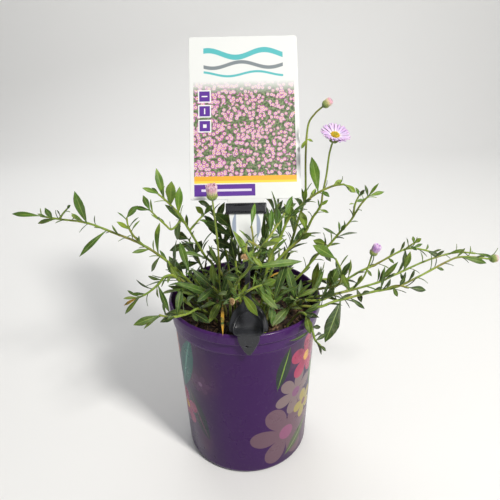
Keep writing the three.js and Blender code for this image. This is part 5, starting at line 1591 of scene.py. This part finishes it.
# The sleeve's print: simple blossoms and leaves round both sides, with the front and the back middle plain.
# Each is (petals, or 0 for a leaf; degrees round from the front; height; reach; turn; colour; eye or rib).
SLEEVE_PRINT = [
    (0, -58, 112, 36, 70, "1c5f5a", "5f9c8e"),
    (0, -47, 60, 30, 115, "1f2b33", "6f3f5c"),
    (5, -66, 58, 20, 20, "8f2f5a", "c9a24a"),
    (6, -40, 100, 11, 5, "553459", "7f5f7f"),
    (5, -80, 124, 14, 50, "b04a48", "c9a24a"),
    (6, 37, 42, 38, 0, "6f5560", "8f5576"),
    (6, 46, 86, 24, 15, "827070", "7f4f74"),
    (5, 60, 64, 17, 35, "a39552", "6f3f5c"),
    (5, 58, 120, 23, 12, "a83a5c", "d9a84a"),
    (0, 31, 120, 22, 75, "26352a", "7f9f3f"),
    (0, 52, 26, 22, 40, "4f5b3f", "8f9f6a"),
    (5, 78, 122, 15, 0, "a86a84", "c9b56a"),
    (0, 76, 84, 24, 110, "4a6a3a", "8fa45a"),
]
SLEEVE_TOP = 142.0
SLEEVE_LOW = 5.0
SLEEVE_RADIUS = 63.0
PRINT_BLEED = 0.25


def print_motif(add, colour, round_mm, height_mm, motif):
    """One motif over a colour. With x and y from its middle and turned with it, a blossom fills where the
    distance is under its reach times 0.3 + 0.7 |cos(half the petals times angle)|^0.55, and a leaf where
    |y| is under 0.3 (1 - x squared), in units of its reach. The eye is a disc, and the rib a thin leaf."""
    petals, degrees, height, reach, turn, code, heart_code = motif
    x = add("Math SUBTRACT", (round_mm, np.radians(degrees) * SLEEVE_RADIUS))
    y = add("Math SUBTRACT", (height_mm, height))
    spot = add("CombineXYZ", (x, y))
    local = add("VectorRotate", {"Vector": spot, "Angle": -np.radians(turn)}, rotation_type="Z_AXIS")
    x, y, _ = add("SeparateXYZ", [local]).outputs
    if petals:
        apart = add("VectorMath LENGTH", [local])
        half_turn = add("Math MULTIPLY", (add("Math ARCTAN2", (y, x)), petals / 2))
        wave = add("Math ABSOLUTE", [add("Math COSINE", [half_turn])])
        edge = add("Math MULTIPLY_ADD", (add("Math POWER", (wave, 0.55)), 0.7 * reach, 0.3 * reach))
        heart = 0.22 * reach
    else:
        apart = add("Math ABSOLUTE", [y])
        square = add("Math MULTIPLY", (x, x))
        edge = add("Math MULTIPLY_ADD", (square, -0.3 / reach, 0.3 * reach))
        heart = add("Math MULTIPLY", (edge, 0.09))
    for limit, most, ink in ((edge, 0.92, code), (heart, 0.9, heart_code)):
        inside = add("Math SUBTRACT", (limit, apart))
        share = add("MapRange", (inside, -PRINT_BLEED, PRINT_BLEED, 0, most))
        colour = add("Mix RGBA", {0: share, 6: colour, 7: paint(ink)})
    return colour


def printed_polypropylene(purple):
    """Injection-moulded polypropylene with a print moulded in: satin, slightly wavy in its reflections,
    with soft washes of colour and simple motifs at both sides, a plain rim a little lighter than the wall,
    and the inside painted near-black as painted shade. Inside is nearer the axis than the middle of the
    tapered wall."""
    material, add = start("printed_polypropylene", IOR=1.49, Specular_IOR_Level=0.2, Coat_Weight=0.06,
                          Coat_Roughness=0.1)
    x, y, z = add("SeparateXYZ", [add("TexCoord").outputs["Object"]]).outputs
    angle = add("Math ARCTAN2", (x, add("Math MULTIPLY", (y, -1.0))))
    waver = add("MapRange", (grain(add, 9, 3), 0, 1, -0.5, 0.5))
    round_mm = add("Math MULTIPLY_ADD", (angle, SLEEVE_RADIUS, waver))
    height_mm = add("Math MULTIPLY", (z, 1 / MM))
    drift = add("ValToRGB", [grain(add, 55, 2)],
                [(0, "14121f"), (0.4, "2a163c"), (0.52, "3a2148"), (0.64, "54374c"), (1, "6c545a")])
    washed = add("MapRange", (add("Math ABSOLUTE", [round_mm]), 20, 48, 0, 0.75))
    colour = add("Mix RGBA", {0: washed, 6: purple, 7: drift})
    for side in (0, 180):
        for petals, degrees, *rest in SLEEVE_PRINT:
            motif = (petals, (degrees + side + 180) % 360 - 180, *rest)
            colour = print_motif(add, colour, round_mm, height_mm, motif)
    low = add("MapRange", (height_mm, SLEEVE_LOW - 2, SLEEVE_LOW, 0, 1))
    high = add("MapRange", (height_mm, SLEEVE_TOP, SLEEVE_TOP + 0.8, 1, 0))
    rim = add("HueSaturation", {"Value": 1.25, "Saturation": 0.95, "Color": purple})
    out = add("VectorMath LENGTH", [add("CombineXYZ", (x, y))])
    taper = add("Math MULTIPLY_ADD", (z, 0.0453, 0.0586))
    beyond = add("Math SUBTRACT", (out, taper))
    outside = add("MapRange", (beyond, -0.3 * MM, 0.3 * MM, 0, 1))
    # Painted shade: inside the wall the pot is painted near-black, for the shade that falls in it.
    plain = add("Mix RGBA", {0: outside, 6: paint("17111c"), 7: rim})
    printed = add("Math MULTIPLY", (add("Math MULTIPLY", (low, high)), outside))
    colour = add("Mix RGBA", {0: printed, 6: plain, 7: colour})
    dust = add("MapRange", (grain(add, 2.2, 5), 0.58, 0.8, 0, 0.08))
    colour = add("Mix RGBA", {0: dust, 6: colour, 7: paint("8d8495")})
    shine = add("MapRange", (grain(add, 22, 4), 0, 1, 0.2, 0.38))
    return finish_with(material, colour, shine, grain(add, 11, 2), 0.25, 0.5)


# Flat blocks of the card's print, in millimetres: (low, high, left, right, colour), and header waves:
# (height, swing, half width, colour)
CARD_BLOCKS = [
    (127, 131, -43, 43, "e8ad35"),
    (125, 127, -43, 43, "f3d04a"),
    (114, 124, -43, 8, "5a2f91"),
    (118, 120, -37, 5, "d9d3e4"),
    (195, 206, -39, -28, "e8e8e8"),
    (196, 205, -38, -29, "5a2f91"),
    (200, 201, -36, -31, "e8e8e8"),
    (182, 193, -39, -28, "e8e8e8"),
    (183, 192, -38, -29, "5a2f91"),
    (185, 190, -34, -33, "e8e8e8"),
    (169, 180, -39, -28, "e8e8e8"),
    (170, 179, -38, -29, "5a2f91"),
    (173, 176, -35, -32, "e8e8e8"),
]
CARD_WAVES = [(238.0, 3.2, 2.4, "58b5b8"), (228.0, 2.6, 1.6, "7d868a"), (220.0, 2.0, 1.0, "58b5b8")]
CARD_PICTURE = (131, 214, -43, 43)
CARD_HAZE = 202
CARD_HEADER = (212, 246, -34, 34)
CARD_BLOSSOMS = [(4.6, 0.0, "c266a9"), (5.8, 31.0, "b24f98"), (5.2, 67.0, "d295c0")]


def printed_sheet(white):
    """Calendered plastic sheet with an offset print under a thin varnish: even, semi-gloss, crisp edges.
    The map gives millimetres across from the middle and up the lean."""
    material, add = start("varnished_printed_sheet", Roughness=0.32, IOR=1.5, Coat_Weight=0.3,
                          Coat_Roughness=0.15)
    place = add("UVMap", uv_map="surface")
    x, y, _ = add("SeparateXYZ", [place]).outputs
    picture = add("ValToRGB", [add("TexNoise", {"Vector": place, "Scale": 0.5, "Detail": 4.0})],
                  [(0, "1c2a1e"), (0.4, "44573a"), (0.58, "7a8b62"), (1, "b3bc9e")])
    for size, shift, code in CARD_BLOSSOMS:
        picture = print_blossoms(add, picture, place, size, shift, code)
    haze = add("MapRange", (y, CARD_HAZE, CARD_PICTURE[1], 0, 1))
    picture = add("Mix RGBA", {0: haze, 6: picture, 7: white})
    colour = add("Mix RGBA", {0: within(add, x, y, *CARD_PICTURE), 6: white, 7: picture})
    for *block, code in CARD_BLOCKS:
        colour = add("Mix RGBA", {0: within(add, x, y, *block), 6: colour, 7: paint(code)})
    header = within(add, x, y, *CARD_HEADER)
    for height, swing, wide, code in CARD_WAVES:
        lift = add("Math SINE", [add("Math MULTIPLY_ADD", (x, 0.13, height))])
        middle = add("Math MULTIPLY_ADD", (lift, swing, height))
        apart = add("Math ABSOLUTE", [add("Math SUBTRACT", (y, middle))])
        line = add("MapRange", (apart, wide - 0.2, wide + 0.2, 1, 0))
        share = add("Math MULTIPLY", (line, header))
        colour = add("Mix RGBA", {0: share, 6: colour, 7: paint(code)})
    tone = add("Attribute", attribute_name="tone").outputs["Fac"]
    front = add("Math GREATER_THAN", (tone, 0.5))
    colour = add("Mix RGBA", {0: front, 6: white, 7: colour})
    return finish_with(material, colour, None, grain(add, 18, 2), 0.08, 0.4)


def within(add, x, y, low, high, left, right):
    """1 inside a rectangle and 0 outside it: both ways, less than half its size from its middle."""
    inside = []
    for value, first, last in ((x, left, right), (y, low, high)):
        off = add("Math SUBTRACT", (value, (first + last) / 2))
        inside.append(add("Math LESS_THAN", (add("Math ABSOLUTE", [off]), (last - first) / 2)))
    return add("Math MULTIPLY", inside)


def print_blossoms(add, colour, place, size, shift, code):
    """Scattered small blossoms over a colour: cells of that size in millimetres, each with a five-petalled
    disc in pink, a white ring and a yellow eye, in beds that leave patches of green."""
    moved = add("VectorMath ADD", (place, (shift, shift, 0)))
    cells = add("TexVoronoi", {"Vector": moved, "Scale": 1 / size, "Randomness": 0.85},
                voronoi_dimensions="2D")
    scaled = add("VectorMath SCALE", {0: moved, "Scale": 1 / size})
    local = add("VectorMath SUBTRACT", (scaled, cells.outputs["Position"]))
    x, y, _ = add("SeparateXYZ", [local]).outputs
    angle = add("Math ARCTAN2", (y, x))
    wave = add("Math COSINE", [add("Math MULTIPLY", (angle, 5.0))])
    edge = add("Math MULTIPLY_ADD", (wave, 0.06, 0.34))
    share = add("Math DIVIDE", (cells.outputs["Distance"], edge))
    disc = add("ValToRGB", [share],
               [(0, "c07c12"), (0.3, "d8ae3a"), (0.38, "e2dada"), (0.55, "d9bfd2"), (0.8, code)])
    bed = add("TexNoise", {"Vector": moved, "Scale": 0.08, "Detail": 2.0})
    grows = add("Math GREATER_THAN", (bed, 0.45))
    inside = add("Math MULTIPLY", (add("Math LESS_THAN", (share, 1.0)), grows))
    return add("Mix RGBA", {0: inside, 6: colour, 7: disc})


def plain_sheet(white):
    """The same sheet left unprinted: white, with a grey-blue crescent of painted shade beside each edge,
    also pressed in a little as a bump.
    A crescent lies between a straight line and 12.2 - 0.026 (height - 89) squared from the middle."""
    material, add = start("plain_plastic_sheet", Roughness=0.36, IOR=1.5, Coat_Weight=0.2,
                          Coat_Roughness=0.2)
    x, y, _ = add("SeparateXYZ", [add("UVMap", uv_map="surface")]).outputs
    above = add("Math SUBTRACT", (y, 89.0))
    square = add("Math MULTIPLY", (above, above))
    arc = add("Math MULTIPLY_ADD", (square, -0.026, 12.2))
    side = add("Math ABSOLUTE", [x])
    outer = add("MapRange", (add("Math SUBTRACT", (arc, side)), 0, 0.6, 0, 1))
    inner = add("MapRange", (side, 8.2, 8.8, 0, 1))
    # Painted shade: the grey-blue crescents stand for shade beside the tongue's edges; the same mask makes
    # the bump.
    crease = add("Math MULTIPLY", (outer, inner))
    colour = add("Mix RGBA", {0: crease, 6: white, 7: paint("8f9aac")})
    return finish_with(material, colour, None, crease, 0.3, 0.2)


# Settings, operators and panel

def swatch(name, code, description):
    """A colour setting that starts at that colour."""
    return FloatVectorProperty(name=name, description=description, default=paint(code), size=4, min=0,
                               max=1, subtype="COLOR")


class PotSettings(bpy.types.PropertyGroup):
    """What a user would change on the pot, its mix, its card and its clip."""

    plastic: swatch("Pot plastic", "391450", "Colour of the pot's plastic and sleeve")
    chips: IntProperty(name="Bark chips", description="How many loose chips lie on the mix",
                       default=BARK_CHIPS, min=0, max=900)
    card: swatch("Card", "e0e2e0", "Colour of the card's unprinted plastic")
    clip: swatch("Clip", "2a2b2f", "Colour of the clip's plastic")


class PlantSettings(bpy.types.PropertyGroup):
    """What a user would change on the plant."""

    leaf: swatch("Leaf", "587c20", "Colour of a leaf of middling age")
    petal: swatch("Ray petal", "cfaadd", "Colour of the open bloom's rays")
    disc: swatch("Disc", "efd018", "Colour of the bloom's yellow disc")
    hair_length: FloatProperty(name="Hair length", description="Longest hair on stems and cups",
                               default=0.0011, min=0, max=0.003, unit="LENGTH")
    hairs: FloatProperty(name="Hairs for each millimetre", description="Hairs along a stem",
                         default=HAIRS_PER_MM, min=0, max=6)


class StageSettings(bpy.types.PropertyGroup):
    """What a user would change around the object."""

    floor: swatch("Floor", "e6e6e5", "Colour of floor and backdrop")
    key: FloatProperty(name="Key light", description="Strength of the main light in watts",
                       default=13.5, min=0, max=200)


class DAISY_OT_pot(bpy.types.Operator):
    """Turns the pot with its rim, bead and drain holes"""

    bl_idname = "daisy.pot"
    bl_label = "Pot"

    def execute(self, context):
        sleeve = printed_polypropylene(context.scene.daisy_pot.plastic)
        pot = build("moulded_pot", [pot_shell()], [sleeve], ["pot"], crease=50)
        cut_with(pot, [drain_cutters()])
        return {"FINISHED"}


class DAISY_OT_mix(bpy.types.Operator):
    """Fills the pot with bark mix and strews chips on it"""

    bl_idname = "daisy.mix"
    bl_label = "Potting mix"

    def execute(self, context):
        chips = bark_shells(np.random.default_rng(41), context.scene.daisy_pot.chips)
        build("bark_potting_mix", [soil_shell(), chips], [composted_bark(), bark_chip()],
              ["potting_mix"])
        return {"FINISHED"}


class DAISY_OT_clip(bpy.types.Operator):
    """Moulds the clip that sits over the rim and holds the card"""

    bl_idname = "daisy.clip"
    bl_label = "Clip"

    def execute(self, context):
        plastic = textured_abs(context.scene.daisy_pot.clip)
        clip = build("moulded_clip", clip_shells(), [plastic], ["label_holder"], crease=50)
        cut_with(clip, clip_cutters())
        return {"FINISHED"}


class DAISY_OT_card(bpy.types.Operator):
    """Cuts the printed card with its tongue"""

    bl_idname = "daisy.card"
    bl_label = "Card"

    def execute(self, context):
        plain = context.scene.daisy_pot.card
        build("picture_card", card_shells(), [printed_sheet(plain), plain_sheet(plain)],
              ["label_card"], crease=50)
        return {"FINISHED"}


# Painted shade: the share of their tone that leaves on the stems at the back keep, so that they read as
# shaded.
BACK_PAINTED_SHADE = 0.45


class DAISY_OT_foliage(bpy.types.Operator):
    """Grows every leafy stem with its leaves, hairs, twigs and green cups"""

    bl_idname = "daisy.foliage"
    bl_label = "Leafy stems"

    def execute(self, context):
        settings = context.scene.daisy_plant
        finishes = [leaf_blade(settings.leaf), stem_skin(), plant_hair(), bract_skin(), withered_head()]
        plants = grow_all()
        for number, owner in enumerate(dict.fromkeys(plant["owner"] for plant in plants)):
            own = [plant for plant in plants if plant["owner"] == owner]
            random = np.random.default_rng(900 + number)
            leaves = [leaf for plant in own for leaf in plant["grown"] + plant["leaflets"]]
            shells = leaf_shells(leaves, 300 + number, 0, BACK_PAINTED_SHADE if owner.startswith("back") else 1.0)
            for plant in own:
                shells.append(stem_shell(plant, 1, random))
                shells.append(stem_hairs(plant, 2, random, settings))
                shells += head_shells(plant["name"], random)
            build(owner + "_growth", shells, finishes, [owner])
        return {"FINISHED"}


class DAISY_OT_bloom(bpy.types.Operator):
    """Opens the bloom: lilac rays and a yellow disc"""

    bl_idname = "daisy.bloom"
    bl_label = "Open bloom"

    def execute(self, context):
        settings = context.scene.daisy_plant
        rays, florets = flower_shells(*head_seat("open_flower"))
        build("ray_petals", rays, [ray_petal(settings.petal)], ["flower_rays"])
        build("disc_florets", florets, [disc_floret(settings.disc)], ["flower_disc"])
        return {"FINISHED"}


class DAISY_OT_buds(bpy.types.Operator):
    """Rolls the petals of the four buds"""

    bl_idname = "daisy.buds"
    bl_label = "Buds"

    def execute(self, context):
        for number, (name, head) in enumerate(HEADS.items()):
            if head["kind"] == "bud":
                petals = bud_petal_shells(*head_seat(name), head, np.random.default_rng(700 + number))
                build(name + "_rolled_petals", petals, [bud_petal(name)], [name + "_petals"])
        return {"FINISHED"}


CAMERA_TILT = np.radians(25.24)
CAMERA_DISTANCE = 464.5
CAMERA_ROLL = np.radians(-1)
CAMERA_AIM = np.array([5.68, 0.0, 209.24])
CAMERA_LENS = 37.44


class DAISY_OT_stage(bpy.types.Operator):
    """Sets the floor, the lights and the camera at the photograph's angle"""

    bl_idname = "daisy.stage"
    bl_label = "Stage"

    def execute(self, context):
        settings = context.scene.daisy_stage
        stage_floor(settings.floor)
        stage_lights(context.scene, settings.key)
        back = np.array([0, -np.cos(CAMERA_TILT), np.sin(CAMERA_TILT)])
        up = np.cross(back, RIGHT)
        across = RIGHT * np.cos(CAMERA_ROLL) + up * np.sin(CAMERA_ROLL)
        camera = new_object("camera", bpy.data.cameras.new("camera"))
        camera.data.lens = CAMERA_LENS
        camera.data.sensor_width = 36
        camera.data.clip_start = 0.01
        camera.matrix_world = placed(across, back, (CAMERA_AIM + back * CAMERA_DISTANCE) * MM)
        context.scene.camera = camera
        return {"FINISHED"}


def placed(side, back, place):
    """The matrix of a lamp or camera from its way to the side, its way backwards and its place."""
    columns = (side, np.cross(back, side), back, place)
    return Matrix([[column[row] for column in columns] for row in range(3)] + [[0, 0, 0, 1]])


def stage_floor(colour):
    """A wide floor that curves up behind into a backdrop: one profile carried sideways."""
    bend, depth, tall, half = 0.5, 1.1, 2.4, 3.2
    turn = np.linspace(0, np.pi / 2, 24)
    y = np.concatenate([[-2.5], depth + bend * np.sin(turn), [depth + bend]])
    z = np.concatenate([[0.0], bend - bend * np.cos(turn), [tall]])
    points = np.stack([np.stack([x + 0 * y, y, z], -1) for x in (-half, half)], 1).reshape(-1, 3)
    rows = np.arange(len(y) - 1)[:, None] * 2
    mesh = bpy.data.meshes.new("floor")
    mesh.from_pydata(points.tolist(), [], (rows + [0, 1, 3, 2]).tolist())
    mesh.polygons.foreach_set("use_smooth", np.ones(len(mesh.polygons), bool))
    mesh.materials.append(start("studio_paper", Base_Color=colour, Roughness=0.9)[0])
    new_object("floor", mesh)


# Name, place, aim, size, share of the key's strength, colour. The soft fill and back light are weak, so
# that the key's shadow stays dark under the leaves, and one more lights the backdrop.
LIGHTS = [
    ("key", (0.75, -0.85, 1.35), (0, 0, 0.22), 0.25, 1.0, "fffcf7"),
    ("fill", (-1.1, -0.7, 0.7), (0, 0, 0.22), 1.2, 0.04, "f2f5ff"),
    ("back", (-0.3, 1.0, 1.0), (0, 0, 0.22), 0.9, 0.16, "ffffff"),
    ("wall", (0, 0.6, 1.7), (0, 1.6, 1.0), 1.0, 0.3, "ffffff"),
]


def stage_lights(scene, strength):
    """Soft area lights that face the plant, and a pale world."""
    for name, place, aim, size, share, colour in LIGHTS:
        light = bpy.data.lights.new(name, "AREA")
        light.size = size
        light.energy = strength * share * 2
        light.color = paint(colour)[:3]
        back = unit(np.subtract(place, aim))
        new_object(name, light).matrix_world = placed(unit(np.cross(UP, back)), back, place)
    scene.world = scene.world or bpy.data.worlds.new("world")
    scene.world.use_nodes = True
    sky = scene.world.node_tree.nodes["Background"]
    sky.inputs["Color"].default_value = paint("f4f5f6")
    sky.inputs["Strength"].default_value = 0.3
    scene.view_settings.view_transform = "Standard"


OPERATORS = (DAISY_OT_pot, DAISY_OT_mix, DAISY_OT_clip, DAISY_OT_card, DAISY_OT_foliage, DAISY_OT_bloom,
             DAISY_OT_buds, DAISY_OT_stage)


class DAISY_PT_panel(bpy.types.Panel):
    """The sidebar's list of pieces and settings"""

    bl_idname = "DAISY_PT_panel"
    bl_label = "Potted seaside daisy"
    bl_space_type = "VIEW_3D"
    bl_region_type = "UI"
    bl_category = "Daisy"

    def draw(self, context):
        for name in GROUPS:
            settings = getattr(context.scene, name)
            box = self.layout.box()
            for setting in settings.__annotations__:
                box.prop(settings, setting)
        for operator in OPERATORS:
            self.layout.operator(operator.bl_idname)


GROUPS = {"daisy_pot": PotSettings, "daisy_plant": PlantSettings, "daisy_stage": StageSettings}
CLASSES = (*GROUPS.values(), *OPERATORS, DAISY_PT_panel)


def register():
    for kind in CLASSES:
        bpy.utils.register_class(kind)
    for name, kind in GROUPS.items():
        setattr(bpy.types.Scene, name, PointerProperty(type=kind))


def unregister():
    for name in GROUPS:
        delattr(bpy.types.Scene, name)
    for kind in reversed(CLASSES):
        bpy.utils.unregister_class(kind)


def main():
    """Makes every piece and the stage."""
    register()
    for operator in OPERATORS:
        group, name = operator.bl_idname.split(".")
        getattr(getattr(bpy.ops, group), name)()


if __name__ == "__main__":
    main()
